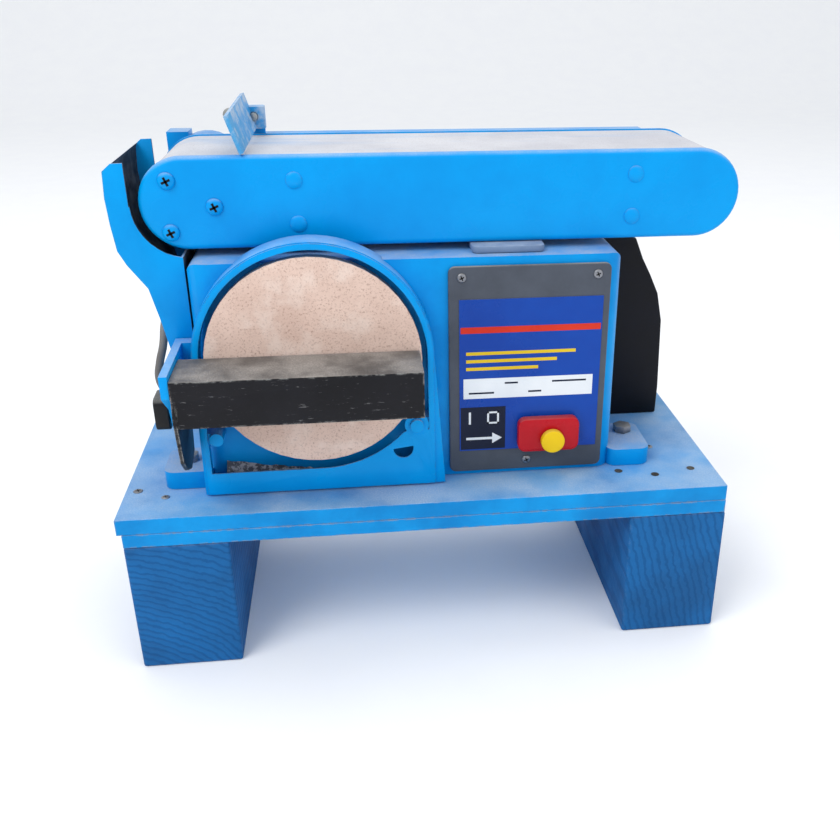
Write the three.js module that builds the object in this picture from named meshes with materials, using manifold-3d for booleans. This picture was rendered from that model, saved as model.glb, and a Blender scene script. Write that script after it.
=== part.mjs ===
// Bench belt-and-disc sander on a two-layer board with two timber blocks.
// Millimetres; +X right, +Y back, +Z up. Pieces are laid out about the middle of the board at
// floor level, and the finished machine is moved so that the origin is bottom centre.
import * as THREE from "three";
import { mergeVertices } from "three/addons/utils/BufferGeometryUtils.js";
import Module from "manifold-3d";

// ---------------------------------------------------------------- driving dimensions
const gap = 0.3; // left between faces that touch

const block = { height: 107, leftWidth: 75, rightWidth: 76, leftInset: 3, rightOut: 1.2 };
const board = { width: 454.6, depth: 207.2, lower: 10.5, upper: 12.5, overhang: 3.5 };
const boardTop = block.height + board.lower + board.upper;

const base = { left: -164, right: 146, front: -60.5, back: 60, height: 172, wall: 5 };
base.bottom = boardTop + gap;
base.top = boardTop + base.height;
const baseRound = { corner: 14, top: 9 };
const foot = { height: 14, round: 8, hole: 4.6 };

const bolt = { radius: 4, headRadius: 7.5, headHeight: 5.5 };
const screw = { radius: 2.5, headRadius: 5.2, headHeight: 3 };

const disc = { radius: 76.2, plate: 7.3, paper: 1, front: -78.6 };
const motor = { x: -79.25, z: boardTop + 103.7, radius: 56, front: -38, back: 30 };
const shaft = { radius: 6, journal: 8, front: -71.5, back: 104.5 };
const bearing = { radius: 16, width: 11.4 };

const belt = { width: 101.6, thickness: 1, centres: 363, front: -39.8 };
belt.back = belt.front + belt.width;
const drum = { radius: 29.5, recess: 24, recessDepth: 10 };
const bed = { front: -41.8, sheet: 1.5, clearance: 5.5, edge: 1.1, back: 83.3, web: 2 };
bed.radius = drum.radius + belt.thickness + bed.edge;
const drumAxis = { x: -160.4, z: base.top + bed.clearance + bed.radius };
const idlerAxis = { x: drumAxis.x + belt.centres, z: drumAxis.z };
const beltTop = drumAxis.z + drum.radius + belt.thickness;
const webFront = belt.back + 0.5;
const webBack = webFront + bed.web;

const drive = { front: 92, width: 10, flange: 1.5, motorPulley: 15, drumPulley: 16.3, belt: 2.5 };
const cover = { front: 86, back: 108, sheet: 1.5, clearance: 8 };
const housing = { front: 66, back: 72, drumRadius: 28, slotRadius: 34, motorRadius: 30, pivot: 17.5 };
const lock = { radius: 24, slot: 4.5, lever: 45 };
const travel = { idler: 8 };

const discClearance = 4.1;
const shroud = { front: -74.2, back: -53, wall: 5, flareLeft: -166, flareRight: 13 };
shroud.inner = disc.radius + discClearance;
const plate = { front: -75.7, thickness: 1.2, inner: shroud.inner, rim: 4.2, sill: 149, step: 177 };
plate.outer = plate.inner + plate.rim;
const rightTab = { x: motor.x + shroud.inner - 9.05, z: 181, radius: 9 };
const leftPost = { x: motor.x - shroud.inner + 6.15, z: 177, radius: 5 };

const table = { left: -170, right: -5, front: -123.8, back: -80.1, top: 241, apron: 33.3, wall: 4 };
const tilt = { y: -84, z: 236, pin: 4, arc: 35, studAngle: -75, range: 45 };
const arm = { left: -178, right: -172.5, top: 245, front: -123, back: -46.6 };
const trunnion = { left: -172.1, right: -169.6 };

const panel = { left: 17.4, right: 136, bottom: 134, top: 296, front: -64, bevel: 2 };
const label = { left: 25, right: 131, bottom: 152, top: 272, thickness: 0.4 };
const paddle = { left: 69, right: 116, bottom: 152, top: 179, depth: 7.5 };
const stem = { left: 78, right: 110, bottom: 155, top: 176, back: -54 };
const key = { x: 95, z: 162, radius: 9, thickness: 5.5, stem: 3.5, depth: 5 };
const pad = { left: 36, right: 89, front: -53, back: -17 };

const chute = { front: -46, back: 66, sheet: 1.5, clear: bed.radius + 4.4 };
const rearCover = { front: 38, back: 95, wall: 3 };
const stop = { length: 104.5, height: 26, thickness: 3, lean: 18, x: drumAxis.x + 40.9, z: beltTop + 2.2 };
const stopPivot = { x: drumAxis.x + 42.4, z: beltTop + 14.4 };
const cord = { radius: 3.25, coilRadius: 36, sides: 8 };

// ---------------------------------------------------------------- solids
const wasm = await Module();
wasm.setup();

function solid(shape) {
  if (!shape.isBufferGeometry) return shape;
  const plain = shape.index ? shape.toNonIndexed() : shape.clone();
  plain.deleteAttribute("normal");
  plain.deleteAttribute("uv");
  const merged = mergeVertices(plain, 1e-3);
  const mesh = new wasm.Mesh({
    numProp: 3,
    vertProperties: merged.attributes.position.array,
    triVerts: new Uint32Array(merged.index.array),
  });
  return new wasm.Manifold(mesh);
}

function join(...shapes) {
  return shapes.map(solid).reduce((whole, next) => whole.add(next));
}

function cut(shape, ...tools) {
  return tools.map(solid).reduce((whole, tool) => whole.subtract(tool), solid(shape));
}

function common(first, second) {
  return solid(first).intersect(solid(second));
}

function geometryOf(shape) {
  if (shape.isBufferGeometry) return shape;
  const mesh = shape.getMesh();
  const geometry = new THREE.BufferGeometry();
  geometry.setAttribute("position", new THREE.BufferAttribute(mesh.vertProperties, 3));
  geometry.setIndex(new THREE.BufferAttribute(mesh.triVerts, 1));
  geometry.computeVertexNormals();
  return geometry;
}

function box(x0, x1, y0, y1, z0, z1) {
  const geometry = new THREE.BoxGeometry(x1 - x0, y1 - y0, z1 - z0);
  return geometry.translate((x0 + x1) / 2, (y0 + y1) / 2, (z0 + z1) / 2);
}

function rodX(radius, x0, x1, y, z, sides = 24) {
  const geometry = new THREE.CylinderGeometry(radius, radius, x1 - x0, sides);
  return geometry.rotateZ(-Math.PI / 2).translate((x0 + x1) / 2, y, z);
}

function rodY(radius, y0, y1, x, z, sides = 24) {
  const geometry = new THREE.CylinderGeometry(radius, radius, y1 - y0, sides);
  return geometry.translate(x, (y0 + y1) / 2, z);
}

function rodZ(radius, z0, z1, x, y, sides = 24) {
  const geometry = new THREE.CylinderGeometry(radius, radius, z1 - z0, sides);
  return geometry.rotateX(Math.PI / 2).translate(x, y, (z0 + z1) / 2);
}

// A profile of [radius, y] points turned about the Y axis, outer side running towards +Y.
function turned(profile, sides = 32) {
  return new THREE.LatheGeometry(profile.map(([r, y]) => new THREE.Vector2(r, y)), sides);
}

function ring(inner, outer, y0, y1, sides = 32) {
  return turned([[inner, y0], [outer, y0], [outer, y1], [inner, y1], [inner, y0]], sides);
}

function outline(points) {
  return new THREE.Shape(points.map(([a, b]) => new THREE.Vector2(a, b)));
}

// Shapes drawn in (x, z), (y, z) and (x, y), given a thickness along the third axis.
function plateXZ(shape, y0, y1, curveSegments = 12) {
  const options = { depth: y1 - y0, bevelEnabled: false, curveSegments };
  return new THREE.ExtrudeGeometry(shape, options).rotateX(Math.PI / 2).translate(0, y1, 0);
}

function plateYZ(shape, x0, x1, curveSegments = 12) {
  const options = { depth: x1 - x0, bevelEnabled: false, curveSegments };
  const turn = new THREE.Matrix4().makeBasis(
    new THREE.Vector3(0, 1, 0),
    new THREE.Vector3(0, 0, 1),
    new THREE.Vector3(1, 0, 0),
  );
  return new THREE.ExtrudeGeometry(shape, options).applyMatrix4(turn).translate(x0, 0, 0);
}

function plateXY(shape, z0, z1, curveSegments = 6) {
  const options = { depth: z1 - z0, bevelEnabled: false, curveSegments };
  return new THREE.ExtrudeGeometry(shape, options).translate(0, 0, z0);
}

function roundedRectangle(x0, x1, y0, y1, r) {
  const shape = new THREE.Shape();
  shape.absarc(x1 - r, y1 - r, r, 0, Math.PI / 2);
  shape.absarc(x0 + r, y1 - r, r, Math.PI / 2, Math.PI);
  shape.absarc(x0 + r, y0 + r, r, Math.PI, 1.5 * Math.PI);
  shape.absarc(x1 - r, y0 + r, r, 1.5 * Math.PI, 2 * Math.PI);
  shape.closePath();
  return shape;
}

function stadium(x0, x1, z, r) {
  const shape = new THREE.Shape();
  shape.absarc(x0, z, r, Math.PI / 2, 1.5 * Math.PI);
  shape.absarc(x1, z, r, -Math.PI / 2, Math.PI / 2);
  shape.closePath();
  return shape;
}

// The taut outline round two circles, as a belt runs round two pulleys.
function wrap(a, ra, b, rb) {
  const along = Math.atan2(b.z - a.z, b.x - a.x);
  const spread = Math.acos((ra - rb) / Math.hypot(b.x - a.x, b.z - a.z));
  const shape = new THREE.Shape();
  shape.absarc(b.x, b.z, rb, along - spread, along + spread);
  shape.absarc(a.x, a.z, ra, along + spread, along - spread + 2 * Math.PI);
  shape.closePath();
  return shape;
}

// An arc slot of the given half width round a centre, angles in degrees.
function arcSlot(cx, cz, radius, half, from, to) {
  const [a, b] = [from, to].map(THREE.MathUtils.degToRad);
  const shape = new THREE.Shape();
  shape.absarc(cx, cz, radius + half, a, b);
  const [ex, ez] = [cx + radius * Math.cos(b), cz + radius * Math.sin(b)];
  shape.absarc(ex, ez, half, b, b + Math.PI);
  shape.absarc(cx, cz, radius - half, b, a, true);
  const [sx, sz] = [cx + radius * Math.cos(a), cz + radius * Math.sin(a)];
  shape.absarc(sx, sz, half, a + Math.PI, a + 2 * Math.PI);
  shape.closePath();
  return shape;
}

function finish(color, roughness, metalness) {
  return { color, roughness, metalness };
}
const paint = finish(0x0094de, 0.45, 0);
const timberPaint = finish(0x1964a5, 0.85, 0);
const dustyPaint = finish(0x6fb0dc, 0.8, 0);
const steel = finish(0x9a9a98, 0.35, 1);
const castIron = finish(0x5a5a5c, 0.6, 1);
const aluminium = finish(0xb9bcc0, 0.4, 1);
const grit = finish(0xdec4b6, 0.95, 0);
const beltGrit = finish(0xcdcdd0, 0.95, 0);
const blackPaint = finish(0x101013, 0.45, 0);
const blackPlastic = finish(0x14141a, 0.5, 0);
const greyPlastic = finish(0x464b52, 0.5, 0);
const labelFilm = finish(0x0541a5, 0.35, 0);
const redPlastic = finish(0xb41423, 0.35, 0);
const yellowPlastic = finish(0xdcb90a, 0.35, 0);
const rubber = finish(0x1c1c1c, 0.8, 0);
const greyRubber = finish(0x96a5be, 0.8, 0);
const cordRubber = finish(0x78736f, 0.7, 0);
const copper = finish(0xb0703c, 0.4, 1);

function piece(name, shape, look) {
  const mesh = new THREE.Mesh(geometryOf(shape), new THREE.MeshStandardMaterial(look));
  mesh.name = name;
  return mesh;
}

function groupAt(x, y, z, ...meshes) {
  const group = new THREE.Group();
  group.position.set(x, y, z);
  group.add(...meshes);
  return group;
}

// ---------------------------------------------------------------- timber stand
const boardLeft = -board.width / 2;
const boardRight = board.width / 2;
const boardFront = -board.depth / 2;
const boardBack = board.depth / 2;

function timberBlocks() {
  const left = boardLeft + block.leftInset;
  const right = boardRight + block.rightOut;
  const top = block.height - gap;
  return [
    piece("timber_block_left", box(left, left + block.leftWidth, boardFront, boardBack, 0, top), timberPaint),
    piece("timber_block_right", box(right - block.rightWidth, right, boardFront, boardBack, 0, top), timberPaint),
  ];
}

// Bolts that hold the casting down: [x, y] of each, through its foot and both boards.
const holdDowns = [[-181, -40], [163, -26], [-110, 74], [96, 74]];

function boards() {
  const split = block.height + board.lower;
  const holes = holdDowns.map(([x, y]) => rodZ(bolt.radius + gap, block.height - 1, boardTop + 1, x, y, 12));
  const lower = box(boardLeft + board.overhang, boardRight, boardFront, boardBack, block.height, split - gap);
  const upper = box(boardLeft, boardRight, boardFront, boardBack, split, boardTop);
  return [
    piece("board_lower", cut(lower, ...holes), timberPaint),
    piece("board_upper", cut(upper, ...holes), dustyPaint),
  ];
}

function holdDownBolts() {
  const seat = base.bottom + foot.height + gap;
  return holdDowns.map(([x, y], i) => {
    const head = rodZ(bolt.headRadius, seat, seat + bolt.headHeight, x, y, 6);
    const shank = rodZ(bolt.radius, block.height + 0.5, seat + 1, x, y, 12);
    return piece("hold_down_bolt_" + (i + 1), join(head, shank), steel);
  });
}

// ---------------------------------------------------------------- base casting
function baseBlock(inset, bottom) {
  const [x0, x1] = [base.left + inset, base.right - inset];
  const [y0, y1] = [base.front + inset, base.back - inset];
  const top = base.top - inset;
  const plan = roundedRectangle(x0, x1, y0, y1, Math.max(baseRound.corner - inset, 2));
  const r = Math.max(baseRound.top - inset, 2);
  const front = new THREE.Shape();
  front.moveTo(x0 - 1, bottom);
  front.lineTo(x1 + 1, bottom);
  front.lineTo(x1 + 1, top - r - 1);
  front.lineTo(x1, top - r);
  front.absarc(x1 - r, top - r, r, 0, Math.PI / 2);
  front.absarc(x0 + r, top - r, r, Math.PI / 2, Math.PI);
  front.lineTo(x0 - 1, top - r - 1);
  front.closePath();
  return common(plateXY(plan, bottom, top, 3), plateXZ(front, y0 - 1, y1 + 1, 3));
}

function footPad(x0, x1, y0, y1) {
  const pad = roundedRectangle(x0, x1, y0, y1, foot.round);
  return plateXY(pad, base.bottom, base.bottom + foot.height, 2);
}

function baseCasting() {
  const feet = [
    footPad(base.left - 34, base.left + 3, base.front, -18),
    footPad(base.right - 3, base.right + 31.5, -61, -10),
    footPad(-132, -88, base.back - 3, base.back + 28),
    footPad(74, 118, base.back - 3, base.back + 28),
  ];
  const inside = baseBlock(base.wall, base.bottom - 1);
  const holes = holdDowns.map(([x, y]) => rodZ(foot.hole, base.bottom - 1, boardTop + 20, x, y, 12));
  const frontOpenings = [
    rodY(bearing.radius, base.front - 1, base.front + 10, motor.x, motor.z, 24),
    box(70, 120, base.front - 1, base.front + 10, 147, 184),
  ];
  const backOpenings = [
    rodY(13, base.back - 10, base.back + 1, motor.x, motor.z, 16),
    rodY(cordExit.hole + gap, base.back - 10, base.back + 1, cordExit.x, cordExit.z, 16),
    box(10, 60, base.back - 10, base.back + 1, 180, 186),
    box(10, 60, base.back - 10, base.back + 1, 200, 206),
    box(10, 60, base.back - 10, base.back + 1, 220, 226),
  ];
  const sideOpening = rodX(10, base.right - 10, base.right + 1, 65 - 10, 220, 16);
  const whole = join(baseBlock(0, base.bottom), ...feet);
  return piece("base_casting", cut(whole, inside, ...holes, ...frontOpenings, ...backOpenings, sideOpening), paint);
}

function restPad() {
  const shape = roundedRectangle(pad.left, pad.right, pad.front, pad.back, 5);
  return piece("bed_rest_pad", plateXY(shape, base.top + gap, drumAxis.z - bed.radius - gap, 3), greyRubber);
}

// ---------------------------------------------------------------- disc shroud and its cover plate
function shroudOutline(radius, left, right, bottom) {
  const shape = new THREE.Shape();
  shape.absarc(motor.x, motor.z, radius, 0, Math.PI);
  shape.lineTo(left, bottom);
  shape.lineTo(right, bottom);
  shape.closePath();
  return shape;
}

function discShroud() {
  const bottom = base.bottom + 1;
  const outer = shroudOutline(shroud.inner + shroud.wall, shroud.flareLeft, shroud.flareRight, bottom);
  const inner = shroudOutline(
    shroud.inner,
    shroud.flareLeft + shroud.wall,
    shroud.flareRight - shroud.wall - 6,
    bottom + shroud.wall,
  );
  const body = cut(
    plateXZ(outer, shroud.front, shroud.back, 20),
    plateXZ(inner, shroud.front - 1, shroud.back + 1, 20),
    box(base.left - 20, base.right, base.front - gap, shroud.back + 1, bottom - 1, base.top + gap),
  );
  const postBack = base.front - gap;
  const post = rodY(leftPost.radius, shroud.front, postBack, leftPost.x, leftPost.z, 16);
  const postArm = box(
    motor.x - shroud.inner - 2, leftPost.x,
    shroud.front, postBack,
    leftPost.z - 4, leftPost.z + 4,
  );
  const lug = box(rightTab.x - 6, rightTab.x + 14, shroud.front, postBack, rightTab.z - 12, rightTab.z + 5);
  const holes = [leftPost, rightTab].map(({ x, z }) =>
    rodY(screw.radius + gap, shroud.front - 1, postBack + 1, x, z, 12),
  );
  return piece("disc_shroud", cut(join(body, post, postArm, lug), ...holes), paint);
}

function coverPlate() {
  const back = plate.front + plate.thickness;
  const bottom = base.bottom + 1.5;
  const left = motor.x - plate.outer;
  const right = motor.x + plate.outer;
  const sheet = plateXZ(shroudOutline(plate.outer, left, right, bottom), plate.front, back, 20);
  const opening = new THREE.Shape();
  opening.absarc(motor.x, motor.z, plate.inner, 0, Math.PI);
  opening.lineTo(motor.x - plate.inner, plate.sill);
  opening.lineTo(motor.x, plate.sill);
  opening.absarc(motor.x, motor.z, motor.z - plate.sill, -Math.PI / 2, -0.76);
  opening.lineTo(motor.x + plate.inner - 15, plate.step);
  opening.lineTo(motor.x + plate.inner, plate.step);
  opening.closePath();
  const slot = new THREE.Shape();
  slot.moveTo(-26, 164);
  slot.absarc(-18.5, 162, 7.5, Math.PI, 2 * Math.PI);
  slot.lineTo(-11, 164);
  slot.closePath();
  const open = cut(sheet, plateXZ(opening, plate.front - 1, back + 1, 20), plateXZ(slot, plate.front - 1, back + 1, 6));
  const tab = rodY(rightTab.radius, plate.front, back, rightTab.x, rightTab.z, 20);
  const hole = rodY(screw.radius + gap, plate.front - 1, back + 1, rightTab.x, rightTab.z, 12);
  return piece("disc_cover_plate", cut(join(open, tab), hole), paint);
}

function machineScrew(name, x, z, face, length) {
  const head = rodY(screw.headRadius, face - screw.headHeight, face, x, z, 16);
  const shank = rodY(screw.radius, face - 1, face + length, x, z, 10);
  return piece(name, join(head, shank), steel);
}

function coverScrews() {
  return [
    machineScrew("cover_screw_left", leftPost.x, leftPost.z, shroud.front - gap, 10),
    machineScrew("cover_screw_right", rightTab.x, rightTab.z, plate.front - gap, 10),
  ];
}

// ---------------------------------------------------------------- switch panel
function switchPanel() {
  const shape = roundedRectangle(panel.left, panel.right, panel.bottom, panel.top, 5);
  const hole = box(stem.left - 1.5, stem.right + 1.5, panel.front - 1, base.front, stem.bottom - 1.5, stem.top + 1.5);
  return piece("switch_panel", cut(plateXZ(shape, panel.front, base.front - gap, 4), hole), greyPlastic);
}

function labelPlate() {
  const back = panel.front - 0.2;
  const film = box(label.left, label.right, back - label.thickness, back, label.bottom, label.top);
  const hole = box(stem.left - 2, stem.right + 2, back - 2, back + 1, stem.bottom - 2, stem.top + 2);
  return piece("label_plate", cut(film, hole), labelFilm);
}

const labelFront = panel.front - 0.2 - label.thickness;

function switchBody() {
  const front = base.front - gap + gap;
  const body = box(stem.left - 5, stem.right + 6, front, front + 28, stem.bottom - 5, stem.top + 5);
  const recess = box(stem.left - 1.5, stem.right + 1.5, front - 1, stem.back + 2, stem.bottom - 1, stem.top + 1);
  return piece("switch_body", cut(body, recess), blackPlastic);
}

function switchPaddle() {
  const back = labelFront - gap;
  const shape = roundedRectangle(paddle.left, paddle.right, paddle.bottom, paddle.top, 6);
  const face = plateXZ(shape, back - paddle.depth, back, 4);
  const tongue = box(stem.left, stem.right, back - 1, stem.back, stem.bottom, stem.top);
  const socket = rodY(key.stem + gap, back - paddle.depth - 1, back - paddle.depth + key.depth + 1, key.x, key.z, 16);
  return piece("switch_paddle", cut(join(face, tongue), socket), redPlastic);
}

function switchKey() {
  const face = labelFront - gap - paddle.depth - gap;
  const knob = rodY(key.radius, face - key.thickness, face, key.x, key.z, 28);
  const stemRod = rodY(key.stem, face - 1, face + key.depth, key.x, key.z, 16);
  return piece("switch_key", join(knob, stemRod), yellowPlastic);
}

// ---------------------------------------------------------------- motor, inside the base
function motorBody() {
  const fins = 20;
  const shape = new THREE.Shape();
  for (let i = 0; i < fins; i += 1) {
    for (const [offset, r] of [[0, -3], [0.5, -3], [0.5, 0], [1, 0]]) {
      const a = ((i + offset) / fins) * 2 * Math.PI;
      const point = [(motor.radius + r) * Math.cos(a), (motor.radius + r) * Math.sin(a)];
      if (i === 0 && offset === 0) shape.moveTo(...point);
      else shape.lineTo(...point);
    }
  }
  shape.closePath();
  const bore = new THREE.Path();
  bore.absarc(0, 0, motor.radius - 6, 0, 2 * Math.PI);
  shape.holes.push(bore);
  return piece("motor_housing", plateXZ(shape, motor.front, motor.back), castIron);
}

function endBell(name, y, side) {
  const r = motor.radius;
  const seat = bearing.radius + gap;
  const depth = 9;
  const inward = (d) => y + side * d;
  const profile = [
    [shaft.radius + 3, inward(0)],
    [r, inward(0)],
    [r, inward(depth + 8 - gap)],
    [r - 6, inward(depth + 8 - gap)],
    [r - 6, inward(depth)],
    [bearing.radius + 4, inward(depth)],
    [bearing.radius + 4, inward(bearing.width + 3)],
    [seat, inward(bearing.width + 3)],
    [seat, inward(3)],
    [shaft.radius + 3, inward(3)],
    [shaft.radius + 3, inward(0)],
  ];
  return piece(name, turned(side > 0 ? profile : profile.reverse(), 20), castIron);
}

const frontBell = motor.front - 17;
const rearBell = motor.back + 17;

function bearingAt(name, y, inner) {
  return piece(name, ring(inner, bearing.radius, y, y + bearing.width - gap, 24), steel);
}

function statorCore() {
  const core = ring(motor.radius - 25, motor.radius - 7, motor.front + 6, motor.back - 6, 24);
  return piece("stator_core", core, copper);
}

function motorShaft() {
  const { radius: r, journal: j } = shaft;
  const step = motor.front + 1;
  const profile = [[0, shaft.front], [r, shaft.front], [r, step], [j, step], [j, motor.back - 1]];
  profile.push([r, motor.back - 1], [r, shaft.back], [0, shaft.back]);
  return piece("motor_shaft", turned(profile, 20), steel);
}

function rotorCore() {
  const core = ring(shaft.journal + gap, motor.radius - 26, motor.front + 6, motor.back - 6, 28);
  return piece("rotor_core", core, castIron);
}

function coolingFan() {
  const y0 = rearBell + 1.5;
  const y1 = y0 + 5;
  const blades = [];
  for (let i = 0; i < 6; i += 1) {
    const blade = box(10, 40, y0, y1, -1.5, 1.5).rotateY((i * Math.PI) / 3);
    blades.push(blade);
  }
  const hub = rodY(13, y0, y1, 0, 0, 24);
  const bore = rodY(shaft.radius + gap, y0 - 1, y1 + 1, 0, 0, 20);
  return piece("cooling_fan", cut(join(hub, ...blades), bore), blackPlastic);
}

function toothedPulley(name, radius) {
  const r = shaft.radius + gap;
  const y0 = drive.front - drive.flange;
  const y1 = drive.front + drive.width + gap;
  const lip = radius + 3;
  const profile = [
    [r, y0], [lip, y0], [lip, y0 + drive.flange - gap], [radius, y0 + drive.flange - gap],
    [radius, y1], [lip, y1], [lip, y1 + drive.flange], [r, y1 + drive.flange], [r, y0],
  ];
  return piece(name, turned(profile, 20), aluminium);
}

function discPlate() {
  const front = disc.front + disc.paper + gap;
  const back = front + disc.plate;
  const profile = [
    [0, front], [disc.radius, front], [disc.radius, back], [16, back], [16, base.front - 2],
    [shaft.radius + gap, base.front - 2], [shaft.radius + gap, shaft.front - gap], [0, shaft.front - gap],
  ];
  return piece("disc_plate", turned(profile, 48), aluminium);
}

function abrasiveDisc() {
  const { front, radius, paper } = disc;
  return piece("abrasive_disc", turned([[0, front], [radius, front], [radius, front + paper], [0, front + paper]], 48), grit);
}

// ---------------------------------------------------------------- drive at the back
function driveHousing() {
  const { front, back } = housing;
  const web = plateXZ(wrap(drumAxis, housing.drumRadius, motor, housing.motorRadius), front, back, 8);
  const lobe = new THREE.Shape();
  lobe.moveTo(drumAxis.x, drumAxis.z);
  lobe.absarc(drumAxis.x, drumAxis.z, housing.slotRadius, -1.8, 0.18);
  lobe.closePath();
  const slotLobe = plateXZ(lobe, front, back, 6);
  const seat = plateXZ(
    roundedRectangle(motor.x - 45, motor.x + 35, motor.z - 38, base.top - 12, 6),
    base.back + gap, back, 3,
  );
  const tube = rodY(housing.pivot, belt.back - drum.recessDepth + 4, back, drumAxis.x, drumAxis.z, 24);
  const pocket = rodY(14.3, belt.back - drum.recessDepth + 3, back - 3, drumAxis.x, drumAxis.z, 20);
  const shaftHole = rodY(shaft.radius + 2, back - 5, back + 1, drumAxis.x, drumAxis.z, 20);
  const motorHole = rodY(12, base.back, back + 1, motor.x, motor.z, 20);
  const slot = plateXZ(arcSlot(drumAxis.x, drumAxis.z, lock.radius, lock.slot, -93, 3), front - 1, back + 1, 6);
  return piece("drive_housing", cut(join(web, slotLobe, seat, tube), pocket, shaftHole, motorHole, slot), paint);
}

function driveCover() {
  const { front, back, sheet, clearance } = cover;
  const [rd, rm] = [drive.drumPulley + clearance + 3, drive.motorPulley + clearance + 3];
  const outer = plateXZ(wrap(drumAxis, rd + sheet, motor, rm + sheet), front, back, 8);
  const inner = plateXZ(wrap(drumAxis, rd, motor, rm), front - 1, back - sheet, 8);
  const shoulder = box(drumAxis.x - rd - sheet, drumAxis.x - 12, front, back, drumAxis.z, beltTop);
  const ears = [[motor.x + rm, motor.z], [drumAxis.x - rd, drumAxis.z]].map(([x, z]) =>
    box(x - 9, x + 9, front, front + sheet, z - 8, z + 8),
  );
  return piece("drive_cover", cut(join(outer, shoulder, ...ears), inner), paint);
}

function driveBelt() {
  const [rd, rm] = [drive.drumPulley + gap, drive.motorPulley + gap];
  const t = drive.belt;
  const loop = cut(
    plateXZ(wrap(drumAxis, rd + t, motor, rm + t), drive.front, drive.front + drive.width, 7),
    plateXZ(wrap(drumAxis, rd, motor, rm), drive.front - 1, drive.front + drive.width + 1, 7),
  );
  return piece("drive_belt", loop, rubber);
}

// ---------------------------------------------------------------- sanding bed
function bedFrontPlate() {
  const shape = stadium(drumAxis.x, idlerAxis.x, drumAxis.z, bed.radius);
  return piece("bed_front_plate", plateXZ(shape, bed.front, bed.front + bed.sheet, 12), paint);
}

function bedFrame() {
  const [x0, x1] = [drumAxis.x + drum.radius + 8, idlerAxis.x - drum.radius - travel.idler - 4];
  const top = drumAxis.z + drum.radius - gap;
  const front = bed.front + bed.sheet + gap;
  const back = webFront - gap;
  const whole = box(x0, x1, front, back, drumAxis.z - 24, top);
  const hollow = box(x0 - 1, x1 + 1, front + 3, back - 3, drumAxis.z - 25, top - 3);
  return piece("bed_frame", cut(whole, hollow), castIron);
}

function bedRearPlate() {
  const web = plateXZ(stadium(drumAxis.x, idlerAxis.x, drumAxis.z, bed.radius), webFront, webBack, 12);
  const [x0, x1] = [drumAxis.x + 43, idlerAxis.x - 12.5];
  const ledge = box(x0, x1, webFront, bed.back, beltTop - 2, beltTop);
  const flange = box(x0, x1, bed.back - 2, bed.back, beltTop - 12, beltTop);
  const earLink = box(stopPivot.x - 7, stopPivot.x + 7, webFront + 0.5, ear.back, beltTop - 3, beltTop + 0.5);
  const earPlate = box(stopPivot.x - 7, stopPivot.x + 7, ear.front, ear.back, beltTop - 3, stopPivot.z + 7);
  const lug = box(spring.x0 - 5, spring.x0 - gap, webFront + 0.5, 78, spring.z - 7, spring.z + 7);
  const slot = stadium(idlerAxis.x - travel.idler, idlerAxis.x, idlerAxis.z, shaft.radius + gap);
  const cuts = [
    rodY(housing.pivot + 2 * gap, webFront - 1, webBack + 1, drumAxis.x, drumAxis.z, 24),
    rodY(bolt.radius + gap, webFront - 1, webBack + 1, drumAxis.x, drumAxis.z - lock.radius, 14),
    plateXZ(slot, webFront - 1, webBack + 1, 6),
    rodY(4 + gap, webFront - 1, webBack + 1, lever.x, lever.z, 14),
    rodY(3 + gap, webFront - 1, webBack + 1, tracking.x, tracking.z, 14),
    rodY(3 + gap, ear.front - 1, ear.back + 1, stopPivot.x, stopPivot.z, 14),
  ];
  return piece("bed_rear_plate", cut(join(web, ledge, flange, earLink, earPlate, lug), ...cuts), paint);
}

const ear = { front: 67.5, back: 70 };
const spring = { x0: idlerAxis.x - 43, x1: idlerAxis.x - 13, y: 72, z: drumAxis.z - 8, radius: 4 };
const lever = { x: idlerAxis.x - 60, z: drumAxis.z, length: 50 };
const tracking = { x: idlerAxis.x - 30, z: drumAxis.z + 12 };

function sandingBelt() {
  const r = drum.radius + gap;
  const loop = cut(
    plateXZ(stadium(drumAxis.x, idlerAxis.x, drumAxis.z, r + belt.thickness - gap), belt.front, belt.back, 12),
    plateXZ(stadium(drumAxis.x, idlerAxis.x, drumAxis.z, r - gap / 2), belt.front - 1, belt.back + 1, 12),
  );
  return piece("sanding_belt", loop, beltGrit);
}

function bearingCap() {
  const front = bed.front + bed.sheet + gap;
  const cap = rodY(23, front, front + 3, drumAxis.x, drumAxis.z, 28);
  const boss = rodY(15, front, front + 9, drumAxis.x, drumAxis.z, 24);
  const bore = rodY(shaft.radius + gap, front + 1, front + 10, drumAxis.x, drumAxis.z, 20);
  return piece("drum_bearing_cap", cut(join(cap, boss), bore), castIron);
}

function driveDrum() {
  const { radius: r, recess, recessDepth: d } = drum;
  const [y0, y1] = [belt.front + 1.8, belt.back - 1.8];
  const s = shaft.radius;
  const front = bed.front + bed.sheet + gap + 2;
  const profile = [
    [0, front], [s, front], [s, y0 + d], [recess, y0 + d], [recess, y0], [r - gap, y0],
    [r - gap, y1], [recess, y1], [recess, y1 - d], [s, y1 - d], [s, shaft.back], [0, shaft.back],
  ];
  return piece("drive_drum", turned(profile, 28), rubber);
}

function idlerDrum() {
  const { radius: r, recess, recessDepth: d } = drum;
  const [y0, y1] = [belt.front + 1.8, belt.back - 1.8];
  const s = shaft.radius + gap;
  const profile = [
    [s, y0 + d], [recess, y0 + d], [recess, y0], [r - gap, y0],
    [r - gap, y1], [recess, y1], [recess, y1 - d], [s, y1 - d], [s, y0 + d],
  ];
  return piece("idler_drum", turned(profile, 28), aluminium);
}

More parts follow.
